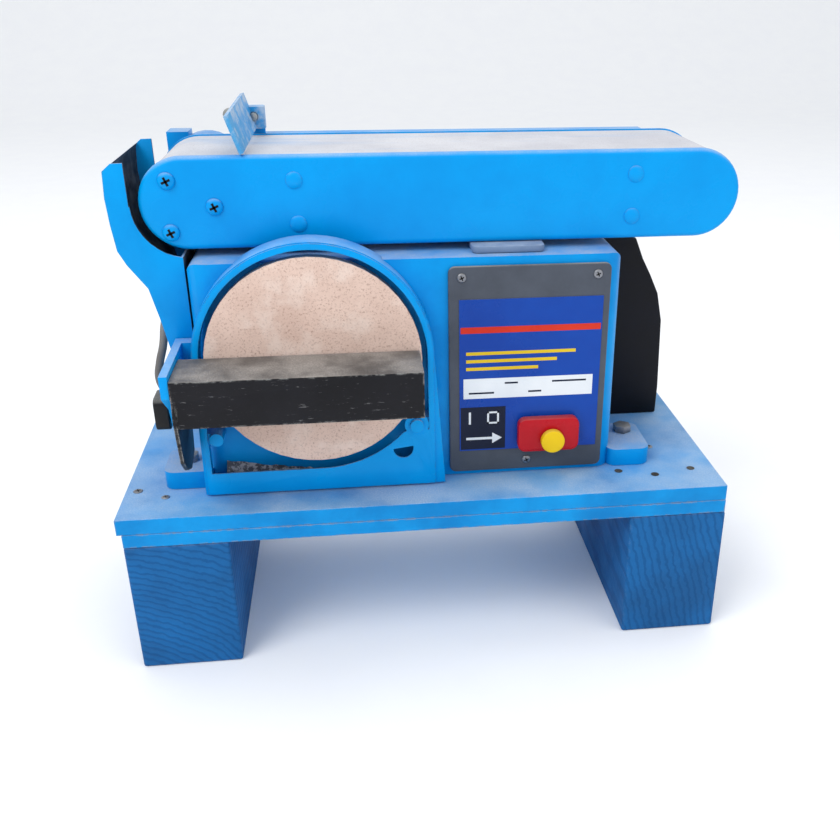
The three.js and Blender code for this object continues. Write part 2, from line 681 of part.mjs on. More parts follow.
function idlerCarriage() {
  const front = belt.front + 4;
  const axle = rodY(shaft.radius, front, 70, 0, 0, 20);
  const nut = rodY(10, front, front + 6, 0, 0, 6);
  const slider = box(-13, 13, webBack + gap, 79, -11, 11);
  return piece("idler_carriage", join(axle, nut, slider), castIron);
}

function drumRearBearing() {
  const y0 = belt.back - drum.recessDepth + 4.3;
  return piece("drum_rear_bearing", ring(shaft.radius + gap, 13.8, y0, housing.back - 3.3, 20), steel);
}

// ---------------------------------------------------------------- bed tension, tracking and lock
class Helix extends THREE.Curve {
  constructor(radius, length, turns) {
    super();
    Object.assign(this, { radius, length, turns });
  }
  getPoint(t, target = new THREE.Vector3()) {
    const a = t * this.turns * 2 * Math.PI;
    return target.set(this.length * t, this.radius * Math.cos(a), this.radius * Math.sin(a));
  }
}

function tensionSpring() {
  const length = spring.x1 - spring.x0 - 2;
  const section = new THREE.Shape().absarc(0, 0, 0.8, 0, 2 * Math.PI);
  const path = new Helix(spring.radius, length, 5);
  const options = { steps: 40, curveSegments: 3, extrudePath: path, bevelEnabled: false };
  const wire = new THREE.ExtrudeGeometry(section, options).translate(spring.x0 + 1, spring.y, spring.z);
  return piece("tension_spring", wire, steel);
}

function tensionLever() {
  const [y0, y1] = [84.3, 88];
  const bar = plateXZ(stadium(-lever.length, 0, 0, 8), y0, y1, 6);
  const pin = rodY(4, webFront + 0.5, y1, 0, 0, 16);
  const grip = rodY(7, y1 - 1, y1 + 9, -lever.length, 0, 16);
  return piece("tension_lever", join(bar, pin, grip), steel);
}

function trackingKnob() {
  const stemRod = rodY(3, webFront + 0.5, 70, 0, 0, 14);
  const knob = rodY(9, 67, 79, 0, 0, 10);
  return piece("tracking_knob", join(stemRod, knob), blackPlastic);
}

function bedLockLever() {
  const stud = rodY(bolt.radius, webFront + 0.5, 78, 0, 0, 14);
  const boss = rodY(8, housing.back + gap, 80, 0, 0, 16);
  const bar = box(-3.5, 3.5, 74, 79, -lock.lever, 0);
  const grip = rodY(6, 73.5, 83, 0, -lock.lever, 14);
  return piece("bed_lock_lever", join(stud, boss, bar, grip), steel);
}

// ---------------------------------------------------------------- work stop
function workStop() {
  const lean = THREE.MathUtils.degToRad(-stop.lean);
  const blade = box(-stop.thickness / 2, stop.thickness / 2, 0, stop.length, 0, stop.height);
  blade.rotateX(THREE.MathUtils.degToRad(2.2)).rotateY(lean).rotateZ(THREE.MathUtils.degToRad(-1.6));
  blade.translate(stop.x, bed.front, stop.z);
  const flange = box(
    stopPivot.x - 8, stopPivot.x + 8,
    bed.front + stop.length - 5, ear.front - gap,
    stopPivot.z - 9, stopPivot.z + 7,
  );
  const hole = rodY(3 + gap, 50, ear.front + 1, stopPivot.x, stopPivot.z, 14);
  return piece("work_stop", cut(join(blade, flange), hole), paint);
}

function workStopBolt() {
  const { x, z } = stopPivot;
  const shank = rodY(3, bed.front + stop.length - 8, ear.back + 2, x, z, 12);
  const wing = stadium(x - 20, x, z, 4.5);
  const head = plateXZ(wing, ear.back + gap, ear.back + 4.5, 4);
  return piece("work_stop_bolt", join(shank, head), castIron);
}

// ---------------------------------------------------------------- dust chute
function dustChute() {
  const outer = outline([
    [-205, beltTop - 2], [-211, beltTop - 7], [-212, 345], [-211, 327], [-209, 309], [-204, 299],
    [-192, 282], [-187, 260], [-182, 234], [base.left - 1.5, 234], [base.left - 1.5, 304],
    [drumAxis.x, 304], [-190, 368],
  ]);
  const inner = outline([
    [-204.5, beltTop + 5], [-209.4, beltTop - 8], [-210.4, 345], [-209.4, 327], [-207.4, 309.6],
    [-202.7, 300], [-190.6, 282.6], [-185.4, 260], [-180, 230], [base.left - 3.2, 230],
    [base.left - 3.2, 310], [-185, 380],
  ]);
  const shell = cut(
    plateXZ(outer, chute.front, chute.back),
    plateXZ(inner, chute.front + chute.sheet, chute.back - chute.sheet),
    rodY(chute.clear, chute.front - 1, chute.back + 1, drumAxis.x, drumAxis.z, 40),
    box(-197, drumAxis.x + 5, chute.front - 1, chute.back + 1, drumAxis.z, beltTop + 10),
    box(base.left - 1, drumAxis.x + 5, chute.front - 1, chute.back + 1, 300, drumAxis.z),
  );
  return piece("dust_chute", shell, paint);
}

// ---------------------------------------------------------------- disc table
function discTable() {
  const { left, right, front, back, top, apron, wall } = table;
  const whole = box(left, right, front, back, top - apron, top);
  const hollow = box(left + wall, right - wall, front + wall, back + 1, top - apron - 1, top - wall);
  const side = outline([
    [front + 2, top - 4], [-126, 213], [-119, 180], [-109, 170], [-94, 164], [-76, 170],
    [-71, 190], [-75, 225], [-78, 240.5],
  ]);
  const slot = arcSlot(tilt.y, tilt.z, tilt.arc, tilt.pin + 0.6, tilt.studAngle - tilt.range - 2, tilt.studAngle + 2);
  const lowSlot = tilt.studAngle - tilt.range;
  const nutRun = arcSlot(tilt.y, tilt.z, tilt.arc, 8, lowSlot - 4, tilt.studAngle + 4);
  const tools = [
    plateYZ(slot, trunnion.left - 1, trunnion.right + 1, 6),
    plateYZ(nutRun, trunnion.right, left + wall + 1, 6),
    rodX(tilt.pin + gap, trunnion.left - 1, left + wall + 1, tilt.y, tilt.z, 16),
  ];
  const swing = outline([
    [tilt.y + 1.5, tilt.z - 2], [tilt.y - 36.5, tilt.z - 40], [tilt.y + 10, tilt.z - 40], [tilt.y + 10, tilt.z - 2],
  ]);
  tools.push(plateYZ(swing, trunnion.right, right + 1));
  const endCap = box(trunnion.left, left + 1, front, back, top - 14, top);
  const end = join(plateYZ(side, trunnion.left, trunnion.right), endCap);
  return piece("disc_table", cut(join(cut(whole, hollow), end), ...tools), blackPaint);
}

function tableArm() {
  const { left, right, top, front, back } = arm;
  const side = outline([
    [front, top], [front, 229], [-104, 214], [-95, 190], [-66, 188], [-58, 222], [back, 226], [back, top],
  ]);
  const link = box(left, base.left - gap, back - 10, back, 226, top);
  const pin = rodX(tilt.pin, left + 1, table.left + table.wall - 1, tilt.y, tilt.z, 16);
  const bolted = join(plateYZ(side, left, right), link, pin);
  const hole = rodX(tilt.pin + gap, left - 1, right + 1, stud.y, stud.z, 16);
  return piece("table_arm", cut(bolted, hole), paint);
}

const studRadians = THREE.MathUtils.degToRad(tilt.studAngle);
const stud = {
  y: tilt.y + tilt.arc * Math.cos(studRadians),
  z: tilt.z + tilt.arc * Math.sin(studRadians),
};

function tableLockKnob() {
  const nutLeft = trunnion.right - arm.left + gap;
  const rod = rodX(tilt.pin, -14, nutLeft + 2, 0, 0, 14);
  const hub = rodX(8, -8.5, -gap, 0, 0, 16);
  const grip = plateYZ(roundedRectangle(-12, 12, -12, 12, 5), -14, -4, 3);
  const nut = rodX(7, nutLeft, nutLeft + 2.6, 0, 0, 6);
  return piece("table_lock_knob", join(rod, hub, grip, nut), blackPlastic);
}

// ---------------------------------------------------------------- electrics cover at the right
function electricsCover() {
  const [left, bottom] = [base.right + gap, boardTop + gap];
  const outer = outline([
    [left, bottom], [211.5, bottom], [212, 155], [211, 193], [210, 216], [205, 240],
    [197, 257], [190, 270], [183, 287], [176, 292], [left, 292],
  ]);
  const inner = outline([
    [left - 1, bottom - 1], [208.5, bottom - 1], [209, 155], [208, 193], [207, 215.5],
    [202.2, 239], [194.4, 255.6], [187.3, 268.8], [180.6, 285], [175, 289], [left - 1, 289],
  ]);
  const { front, back, wall } = rearCover;
  const solidCover = plateXZ(outer, front, back);
  const sideWall = box(left - 2, left + wall, base.back - wall, back, bottom - 2, 289);
  const room = cut(plateXZ(inner, front + wall, back - wall), sideWall);
  return piece("electrics_cover", cut(solidCover, room), blackPlastic);
}

function capacitor() {
  const can = rodZ(19, boardTop + 0.5, boardTop + 80, 180, 68, 24);
  return piece("run_capacitor", can, aluminium);
}

// ---------------------------------------------------------------- mains cord
const cordExit = { x: -140, y: base.back, z: 232, hole: 6, relief: 28 };

function cordRelief() {
  const y = cordExit.y + gap;
  const inside = base.back - base.wall - gap;
  const bore = cord.radius + 2 * gap;
  const profile = [
    [bore, inside - 4], [8, inside - 4], [8, inside], [cordExit.hole - gap, inside],
    [cordExit.hole - gap, y], [9, y], [9, y + 3], [6.5, y + 4], [bore + 1, y + cordExit.relief],
    [bore, y + cordExit.relief], [bore, inside - 4],
  ];
  return groupAt(cordExit.x, 0, cordExit.z, piece("cord_relief", turned(profile, 16), rubber));
}

const coil = { x: -170, y: 176, z: 10.4, turns: 5 };
const cordRoute = [
  [-140, 52, 232], [-140, 72, 232], [-140, 92, 232], [-145, 109, 231.5], [-160, 120, 230.5],
  [-179, 120, 229.5], [-194, 108, 229], [-202, 89, 228.5], [-204, 66, 227.5], [-203.5, 46, 223],
  [-204, 35, 212], [-207.5, 30, 199], [-210, 31, 185], [-207, 35, 171], [-202, 41, 157],
  [-197, 52, 144], [-194, 68, 136.5], [-191.5, 84, 134], [-190, 96, 134.3], [-188.8, 107.5, 133],
  [-187.8, 117.5, 127.8], [-187, 124, 118.5], [-186.5, 127.2, 106], [-186.2, 128.5, 90],
  [-186, 129.8, 72], [-185.3, 132.2, 50], [-182, 133.6, 36], [-173, 136.2, 26.6], [-160.2, 139.5, 22.95],
];

function cordTube() {
  const points = cordRoute.map((p) => new THREE.Vector3(...p));
  const path = new THREE.CatmullRomCurve3(points, false, "centripetal");
  const section = new THREE.Shape().absarc(0, 0, cord.radius, 0, 2 * Math.PI);
  const options = { steps: 40, curveSegments: 4, extrudePath: path, bevelEnabled: false };
  return piece("cord_tube", new THREE.ExtrudeGeometry(section, options), cordRubber);
}

function cordCoil() {
  const half = cord.radius * 2;
  const profile = [
    [cord.coilRadius - half, 0.1], [cord.coilRadius + half, 0.1], [cord.coilRadius + half, half * 3],
    [cord.coilRadius - half, half * 3], [cord.coilRadius - half, 0.1],
  ];
  const hoop = turned(profile, 28).rotateX(Math.PI / 2);
  return groupAt(coil.x, coil.y, 0, piece("cord_coil", hoop, cordRubber));
}

function mainsPlug() {
  const body = box(-14, 14, -17, 17, 0.1, 24);
  const nose = box(-8, 8, -34, -16, 5, 19);
  const blades = [-6.4, 6.4].map((x) => box(x - 0.8, x + 0.8, 16, 34, 10, 17));
  const earth = rodY(2.4, 16, 37, 0, 6, 12);
  return groupAt(coil.x + 74, coil.y, 0, piece("mains_plug", join(body, nose, ...blades, earth), rubber));
}

// ---------------------------------------------------------------- assembly
const stand = new THREE.Group();
stand.add(...timberBlocks(), ...boards(), ...holdDownBolts());
stand.add(baseCasting(), restPad(), discShroud(), coverPlate(), ...coverScrews());
stand.add(switchPanel(), labelPlate(), switchBody(), driveHousing(), driveCover(), driveBelt());
stand.add(drumRearBearing(), dustChute(), tableArm(), electricsCover(), capacitor());
stand.children
  .filter((mesh) => mesh.name === "drum_rear_bearing")
  .forEach((mesh) => mesh.position.set(drumAxis.x, 0, drumAxis.z));

const motorParts = groupAt(
  motor.x, 0, motor.z,
  motorBody(),
  statorCore(),
  endBell("motor_end_bell_front", frontBell, 1),
  endBell("motor_end_bell_rear", rearBell, -1),
  bearingAt("front_bearing", frontBell + 3 + gap, shaft.radius + gap),
  bearingAt("rear_bearing", rearBell - 3 - bearing.width, shaft.radius + gap),
);

const rotor = groupAt(
  motor.x, 0, motor.z,
  motorShaft(), rotorCore(), coolingFan(), toothedPulley("motor_pulley", drive.motorPulley),
  discPlate(), abrasiveDisc(),
);

const bedParts = new THREE.Group();
bedParts.add(bedFrontPlate(), bedFrame(), bedRearPlate(), sandingBelt(), bearingCap());
bedParts.add(tensionSpring(), workStop(), workStopBolt());

const driveDrumParts = groupAt(
  drumAxis.x, 0, drumAxis.z,
  driveDrum(), toothedPulley("drum_pulley", drive.drumPulley),
);
const idlerParts = groupAt(idlerAxis.x, 0, idlerAxis.z, idlerCarriage(), idlerDrum());
const leverPart = groupAt(lever.x, 0, lever.z, tensionLever());
const trackingPart = groupAt(tracking.x, 0, tracking.z, trackingKnob());
const lockPart = groupAt(drumAxis.x, 0, drumAxis.z - lock.radius, bedLockLever());
const tableLock = groupAt(arm.left, stud.y, stud.z, tableLockKnob());

const machine = new THREE.Group();
machine.add(stand, motorParts, rotor, bedParts, driveDrumParts, idlerParts);
machine.add(leverPart, trackingPart, lockPart, discTable(), tableLock, switchPaddle(), switchKey());

const part = new THREE.Group();
part.add(machine);
part.updateMatrixWorld(true);
const extent = new THREE.Box3().setFromObject(machine);
const centre = extent.getCenter(new THREE.Vector3());

machine.add(cordRelief(), cordTube(), cordCoil(), mainsPlug());
machine.position.set(-centre.x, -centre.y, -extent.min.z);

export default part;
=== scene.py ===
import math
import random

import bmesh
import bpy
from mathutils import Matrix, Vector


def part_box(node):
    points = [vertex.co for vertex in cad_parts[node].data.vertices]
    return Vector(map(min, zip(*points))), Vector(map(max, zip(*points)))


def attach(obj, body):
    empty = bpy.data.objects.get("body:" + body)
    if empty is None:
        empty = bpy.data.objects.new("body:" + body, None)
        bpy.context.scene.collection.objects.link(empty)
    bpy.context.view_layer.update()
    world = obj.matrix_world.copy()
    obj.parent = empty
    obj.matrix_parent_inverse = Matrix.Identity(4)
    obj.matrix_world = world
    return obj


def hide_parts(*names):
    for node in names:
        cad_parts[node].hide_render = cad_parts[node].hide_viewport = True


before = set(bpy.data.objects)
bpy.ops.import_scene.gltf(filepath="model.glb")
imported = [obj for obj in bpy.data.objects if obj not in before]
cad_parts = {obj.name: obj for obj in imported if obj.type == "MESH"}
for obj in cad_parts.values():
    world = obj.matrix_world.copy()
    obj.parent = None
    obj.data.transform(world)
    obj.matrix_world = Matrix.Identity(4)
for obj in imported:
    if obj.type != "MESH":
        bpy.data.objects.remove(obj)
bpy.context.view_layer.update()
scene = bpy.context.scene

# ---------------------------------------------------------------- camera
# A standing view from the front, a little left of the machine's middle and above its belt, looking
# down at the board. The values are the camera's place, its three turns, its lens and its shift.
eye = Vector((-0.04951, -0.7226, 0.47953))
turn_right, look_down, lean = 0.130517, 0.447584, 0.005435
ahead = Vector((
    math.sin(turn_right) * math.cos(look_down),
    math.cos(turn_right) * math.cos(look_down),
    -math.sin(look_down),
))
level_right = Vector((math.cos(turn_right), -math.sin(turn_right), 0))
level_up = level_right.cross(ahead)
across = math.cos(lean) * level_right + math.sin(lean) * level_up
upward = math.cos(lean) * level_up - math.sin(lean) * level_right
camera_data = bpy.data.cameras.new("camera")
camera_data.sensor_width = 36
camera_data.lens = 41.653
camera_data.shift_x = -0.07277
camera_data.shift_y = 0.02939
camera_data.clip_start = 0.01
camera = bpy.data.objects.new("camera", camera_data)
scene.collection.objects.link(camera)
camera.matrix_world = Matrix((
    (across.x, upward.x, -ahead.x, eye.x),
    (across.y, upward.y, -ahead.y, eye.y),
    (across.z, upward.z, -ahead.z, eye.z),
    (0, 0, 0, 1),
))
scene.camera = camera

# ---------------------------------------------------------------- mains cord
# A round rubber-sheathed lead of three cores. It leaves the switch box behind the housing through a
# ribbed relief, drops behind the dust chute onto the board, hangs over the back edge, and the rest is
# wound on the floor in a small coil of two turns across and three high, with the plug beside it.
LEAD_RADIUS = 0.00325
COIL_MIDDLE = (-170, 176)
INNER_TURN, OUTER_TURN = 32.75, 39.25
LAYERS = (3.4, 9.9, 16.4)


def moved(x, y, z):
    """A point measured in millimetres from the middle of the board, in metres in the model's frame."""
    return Vector((x / 1000 - 0.00345, y / 1000 + 0.009, z / 1000))


def shader_group(name, inputs, outputs):
    """An empty shader node group with named sockets, its input node and its output node."""
    tree = bpy.data.node_groups.new(name, "ShaderNodeTree")
    for way, sockets in (("INPUT", inputs), ("OUTPUT", outputs)):
        for label, value in sockets.items():
            kind = "NodeSocketColor" if isinstance(value, tuple) else "NodeSocketFloat"
            socket = tree.interface.new_socket(label, in_out=way, socket_type=kind)
            if way == "INPUT":
                socket.default_value = value
    return tree, tree.nodes.new("NodeGroupInput").outputs, tree.nodes.new("NodeGroupOutput").inputs


def join(tree, socket, value):
    """Sets a socket to a value, or links another socket to it."""
    if isinstance(value, bpy.types.NodeSocket):
        tree.links.new(value, socket)
    else:
        socket.default_value = value


def node(tree, kind, settings=None, **inputs):
    """A node with its settings made and its named inputs set or linked."""
    made = tree.nodes.new(kind)
    for key, value in (settings or {}).items():
        setattr(made, key, value)
    for key, value in inputs.items():
        join(tree, made.inputs[key.replace("_", " ")], value)
    return made


def sum_of(tree, operation, *values):
    """A Math node on two or three values."""
    made = node(tree, "ShaderNodeMath", {"operation": operation})
    for socket, value in zip(made.inputs, values):
        join(tree, socket, value)
    return made.outputs[0]


def ramp(tree, value, low, high, bottom=0.0, top=1.0):
    """A value stretched from low...high to bottom...top with soft ends."""
    return node(
        tree, "ShaderNodeMapRange", {"interpolation_type": "SMOOTHSTEP"},
        Value=value, From_Min=low, From_Max=high, To_Min=bottom, To_Max=top,
    ).outputs["Result"]


def mixed(tree, mask, first, second):
    """Two colours mixed by a mask."""
    made = node(tree, "ShaderNodeMix", {"data_type": "RGBA"})
    for index, value in ((0, mask), (6, first), (7, second)):
        join(tree, made.inputs[index], value)
    return made.outputs[2]


def noise(tree, place, scale, detail=3.0, roughness=0.55):
    return node(
        tree, "ShaderNodeTexNoise", Vector=place, Scale=scale, Detail=detail, Roughness=roughness,
    ).outputs["Fac"]


def rgb(red, green, blue):
    """A colour on the 0 to 255 display scale as a shader takes it."""
    parts = [c / 255 for c in (red, green, blue)]
    return (*[c / 12.92 if c < 0.04045 else ((c + 0.055) / 1.055) ** 2.4 for c in parts], 1.0)


# Dust that settles on faces that look up, thicker in patches. It goes by the piece's own normals, so
# it stays where it fell when a part is tilted.
dust_group, given, made = shader_group(
    "settled dust", {"Amount": 0.5, "Patch Scale": 25.0}, {"Mask": 0.0},
)
place = node(dust_group, "ShaderNodeTexCoord").outputs
facing = node(dust_group, "ShaderNodeSeparateXYZ", Vector=place["Normal"]).outputs["Z"]
flat = ramp(dust_group, facing, 0.35, 0.95)
patch = ramp(dust_group, noise(dust_group, place["Object"], given["Patch Scale"], 5.0), 0.3, 0.68, 0.3)
speck = ramp(dust_group, noise(dust_group, place["Object"], 900.0, 2.0), 0.42, 0.66, 0.7)
settled = sum_of(dust_group, "MULTIPLY", sum_of(dust_group, "MULTIPLY", flat, patch), speck)
join(dust_group, made["Mask"], sum_of(dust_group, "MULTIPLY", settled, given["Amount"]))

# Paint or skin rubbed thin along outside edges, broken up by the knocks that made it.
wear_group, given, made = shader_group("rubbed edges", {"Width": 0.001, "Amount": 0.5}, {"Mask": 0.0})
place = node(wear_group, "ShaderNodeTexCoord").outputs
rounded = node(wear_group, "ShaderNodeBevel", {"samples": 4}, Radius=given["Width"]).outputs["Normal"]
true_normal = node(wear_group, "ShaderNodeNewGeometry").outputs["Normal"]
turned_by = node(wear_group, "ShaderNodeVectorMath", {"operation": "DOT_PRODUCT"})
join(wear_group, turned_by.inputs[0], rounded)
join(wear_group, turned_by.inputs[1], true_normal)
edge = ramp(wear_group, turned_by.outputs["Value"], 0.985, 0.88)
knocks = ramp(wear_group, noise(wear_group, place["Object"], 160.0, 6.0, 0.7), 0.44, 0.62)
join(
    wear_group, made["Mask"],
    sum_of(wear_group, "MULTIPLY", sum_of(wear_group, "MULTIPLY", edge, knocks), given["Amount"]),
)

# The fine texture of a surface, as a height, with a slow change of tone across the piece.
grain_group, given, made = shader_group("surface grain", {"Scale": 600.0}, {"Height": 0.0, "Tone": 0.0})
place = node(grain_group, "ShaderNodeTexCoord").outputs
join(grain_group, made["Height"], noise(grain_group, place["Object"], given["Scale"], 2.0, 0.6))
join(grain_group, made["Tone"], noise(grain_group, place["Object"], 14.0, 5.0, 0.6))


def effect(tree, group, **inputs):
    """One of the shared effects placed in a material with its own values."""
    return node(tree, "ShaderNodeGroup", {"node_tree": group}, **inputs).outputs


def surface(
    name, body_colour, tone_colour=None, roughness=0.5, metal=0.0, dust=0.0, dust_colour=(190, 184, 172),
    wear=0.0, wear_width=0.001, wear_colour=(150, 150, 150), grain=600.0, bump=0.15, patch=25.0, shine=0.2,
):
    """A material with a slow change of tone, fine grain, rubbed edges and settled dust."""
    material = bpy.data.materials.new(name)
    material.use_nodes = True
    tree = material.node_tree
    shader = tree.nodes["Principled BSDF"]
    texture = effect(tree, grain_group, Scale=grain)
    tone = ramp(tree, texture["Tone"], 0.3, 0.7)
    plain = rgb(*body_colour)
    shade = rgb(*(tone_colour or [c * 0.86 for c in body_colour]))
    tint = mixed(tree, tone, plain, shade)
    rough = ramp(tree, texture["Tone"], 0.3, 0.7, roughness - 0.06, roughness + 0.08)
    if wear:
        rubbed = effect(tree, wear_group, Width=wear_width, Amount=wear)["Mask"]
        tint = mixed(tree, rubbed, tint, rgb(*wear_colour))
    if dust:
        settled = effect(tree, dust_group, Amount=dust, Patch_Scale=patch)["Mask"]
        tint = mixed(tree, settled, tint, rgb(*dust_colour))
        rough = sum_of(tree, "MULTIPLY_ADD", settled, 0.4, rough)
    join(tree, shader.inputs["Base Color"], tint)
    join(tree, shader.inputs["Roughness"], rough)
    shader.inputs["Metallic"].default_value = metal
    shader.inputs["Specular IOR Level"].default_value = 0.5 if metal else shine
    relief = node(tree, "ShaderNodeBump", Strength=bump, Distance=0.0004, Height=texture["Height"])
    join(tree, shader.inputs["Normal"], relief.outputs["Normal"])
    return material


def piece(name, verts, faces, material, body, smooth=40):
    """A mesh of its own that rides on a body, shaded smooth but for its sharp edges."""
    mesh = bpy.data.meshes.new(name)
    mesh.from_pydata([tuple(v) for v in verts], [], faces)
    shell = bmesh.new()
    shell.from_mesh(mesh)
    bmesh.ops.recalc_face_normals(shell, faces=shell.faces)
    shell.to_mesh(mesh)
    shell.free()
    mesh.shade_smooth()
    mesh.set_sharp_from_angle(angle=math.radians(smooth))
    made = bpy.data.objects.new(name, mesh)
    scene.collection.objects.link(made)
    made.data.materials.append(material)
    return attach(made, body)


def turned(name, profile, middle, axis, material, body, sides=32, smooth=40):
    """A closed profile of (radius, distance along) turned about an axis through a point, in metres."""
    spin = Vector((0, 0, 1)).rotation_difference(Vector(axis)).to_matrix()
    verts, faces, count = [], [], len(profile)
    for side in range(sides):
        angle = 2 * math.pi * side / sides
        for radius, along in profile:
            ray = Vector((radius * math.cos(angle), radius * math.sin(angle), along))
            verts.append(Vector(middle) + spin @ ray)
    for side in range(sides):
        here, there = side * count, (side + 1) % sides * count
        for k in range(count):
            n = (k + 1) % count
            faces.append((here + k, here + n, there + n, there + k))
    made = piece(name, verts, faces, material, body, smooth)
    shell = bmesh.new()
    shell.from_mesh(made.data)
    bmesh.ops.remove_doubles(shell, verts=shell.verts, dist=1e-6)
    bmesh.ops.dissolve_degenerate(shell, edges=shell.edges, dist=1e-6)
    shell.to_mesh(made.data)
    shell.free()
    return made


free_route = [
    (-140, 60, 232), (-140, 74, 232), (-140, 92, 232), (-145, 109, 231.5), (-160, 120, 230.5),
    (-179, 120, 229.5), (-194, 108, 229), (-202, 89, 228.5), (-204, 66, 227.5), (-203.5, 46, 223),
    (-204, 35, 212), (-207.5, 30, 199), (-210, 31, 185), (-207, 35, 171), (-202, 41, 157),
    (-197, 52, 144), (-194, 68, 136.5), (-191.5, 84, 134), (-190, 96, 134.3), (-188.8, 107.5, 133),
    (-187.8, 117.5, 127.8), (-187, 124, 118.5), (-186.5, 127.2, 106), (-186.2, 128.5, 90),
    (-186, 129.8, 72), (-185.3, 132.2, 50), (-182, 133.6, 36), (-173, 136.2, 26.6),
]
# Each turn moves to its next place in a stretch of its own, so no turn runs through another:
# (angle where the move ends, its length, radius after it, height after it).
top, middle, bottom = LAYERS[2], LAYERS[1], LAYERS[0]
moves = [
    (-45, 30, INNER_TURN, 22.95), (5, 50, INNER_TURN, top), (315, 60, OUTER_TURN, top),
    (615, 60, OUTER_TURN, middle), (915, 60, INNER_TURN, middle), (1215, 60, INNER_TURN, bottom),
    (1515, 60, OUTER_TURN, bottom),
]


def turn_at(angle):
    """The radius and the height of the wound lead at an angle."""
    radius, height = 37.8, 22.95
    for end, length, new_radius, new_height in moves:
        share = min(max((angle - end + length) / length, 0), 1)
        share = share * share * (3 - 2 * share)
        radius += share * (new_radius - radius)
        height += share * (new_height - height)
    return radius, height


wound_route = []
for angle in range(-75, 1676, 15):
    radius, height = turn_at(angle)
    wound_route.append((
        COIL_MIDDLE[0] + radius * math.cos(math.radians(angle)),
        COIL_MIDDLE[1] + radius * math.sin(math.radians(angle)),
        height,
    ))
plug_route = [
    (-180, 134.6, 3.4), (-165, 125.5, 3.4), (-148, 118.2, 3.4), (-131, 115.2, 4), (-115, 118, 6),
    (-103, 127.5, 9), (-97, 139, 11.6), (-96, 150, 12),
]
route = [moved(*point) for point in free_route + wound_route + plug_route]

lead_line = bpy.data.curves.new("mains_lead", "CURVE")
lead_line.dimensions = "3D"
lead_line.bevel_depth = LEAD_RADIUS
lead_line.bevel_resolution = 4
lead_line.resolution_u = 6
spline = lead_line.splines.new("BEZIER")
spline.bezier_points.add(len(route) - 1)
for point, spot in zip(spline.bezier_points, route):
    point.co = spot
    point.handle_left_type = point.handle_right_type = "AUTO"
lead_line.use_fill_caps = True
lead_rubber = surface(
    "lead rubber", (122, 118, 114), (98, 95, 92), roughness=0.55, dust=0.5, grain=1800.0, bump=0.1,
)
lead_line.materials.append(lead_rubber)
lead = bpy.data.objects.new("mains_lead", lead_line)
scene.collection.objects.link(lead)
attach(lead, "stand")
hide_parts("cord_tube", "cord_coil")

# The relief: a tapered rubber sleeve with a collar against the sheet and ribs that let it bend.
relief_rubber = surface("relief rubber", (46, 45, 46), (34, 34, 36), roughness=0.5, dust=0.5, grain=1500.0)
relief_profile = [(0.0036, 0.0), (0.0082, 0.0), (0.0082, 0.003), (0.0066, 0.0036)]
for rib in range(6):
    start, size = 0.0042 + 0.0036 * rib, 0.0066 - 0.0003 * rib
    relief_profile += [
        (size, start), (size, start + 0.0019), (size - 0.0011, start + 0.0023), (size - 0.0011, start + 0.0033),
    ]
relief_profile += [(0.0048, 0.0262), (0.0045, 0.0282), (0.0036, 0.0282)]
relief = turned(
    "lead_relief", relief_profile, moved(-140, 60.1, 232), (0, 1, 0), relief_rubber, "stand", 24, 30,
)
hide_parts("cord_relief")

# The plug: a moulded rubber body that narrows to a neck, and two flat brass pins and a round one.
plug_low, plug_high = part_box("mains_plug")
plug_rubber = surface("plug rubber", (40, 40, 42), (30, 30, 32), roughness=0.45, grain=1500.0)
plug_middle = moved(-96, 0, 12)
plug_sections = [
    (142, 5.0, 5.0), (143, 5.6, 5.6), (149, 6.0, 6.0), (153, 8.0, 7.2), (158, 12.4, 10.6),
    (162, 13.8, 11.6), (188, 13.8, 11.6), (191, 13.2, 11.2), (193, 12.2, 10.4),
]
plug_verts, plug_faces = [], []
for along, half_width, half_height in plug_sections:
    for side in range(28):
        angle = 2 * math.pi * side / 28
        squared = [math.copysign(abs(f) ** 0.6, f) for f in (math.cos(angle), math.sin(angle))]
        spot = moved(-96 + half_width * squared[0], along, 12 + half_height * squared[1])
        plug_verts.append(spot)
for ring_number in range(len(plug_sections) - 1):
    for side in range(28):
        a, b = ring_number * 28 + side, ring_number * 28 + (side + 1) % 28
        plug_faces.append((a, b, b + 28, a + 28))
plug_faces += [tuple(range(28)), tuple(range(len(plug_verts) - 28, len(plug_verts)))]
plug = piece("mains_plug_body", plug_verts, plug_faces, plug_rubber, "stand", 50)
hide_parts("mains_plug")


def rounded_bar(name, low, high, edge, material, body, segments=3):
    """A block with rounded edges between two corners, in metres."""
    shell = bmesh.new()
    bmesh.ops.create_cube(shell, size=1)
    for vert in shell.verts:
        vert.co = Vector([(a + b) / 2 + v * (b - a) for a, b, v in zip(low, high, vert.co)])
    bmesh.ops.bevel(
        shell, geom=shell.edges, offset=edge, segments=segments, affect="EDGES", profile=0.5,
    )
    mesh = bpy.data.meshes.new(name)
    shell.to_mesh(mesh)
    shell.free()
    mesh.shade_smooth()
    mesh.set_sharp_from_angle(angle=math.radians(50))
    made = bpy.data.objects.new(name, mesh)
    scene.collection.objects.link(made)
    made.data.materials.append(material)
    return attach(made, body)


plug_metal = surface("plug pins", (206, 180, 110), roughness=0.3, metal=1.0, grain=900.0, bump=0.05)
plug_pins = [
    rounded_bar(
        f"plug_pin_{side}", moved(-96 + x - 1, 190, 12), moved(-96 + x + 1, 212.4, 18.2), 0.0005,
        plug_metal, "stand",
    )
    for side, x in (("left", -6.3), ("right", 6.3))
]
plug_pins.append(rounded_bar(
    "plug_pin_earth", moved(-98.2, 190, 3.6), moved(-93.8, 213, 8), 0.0018, plug_metal, "stand",
))

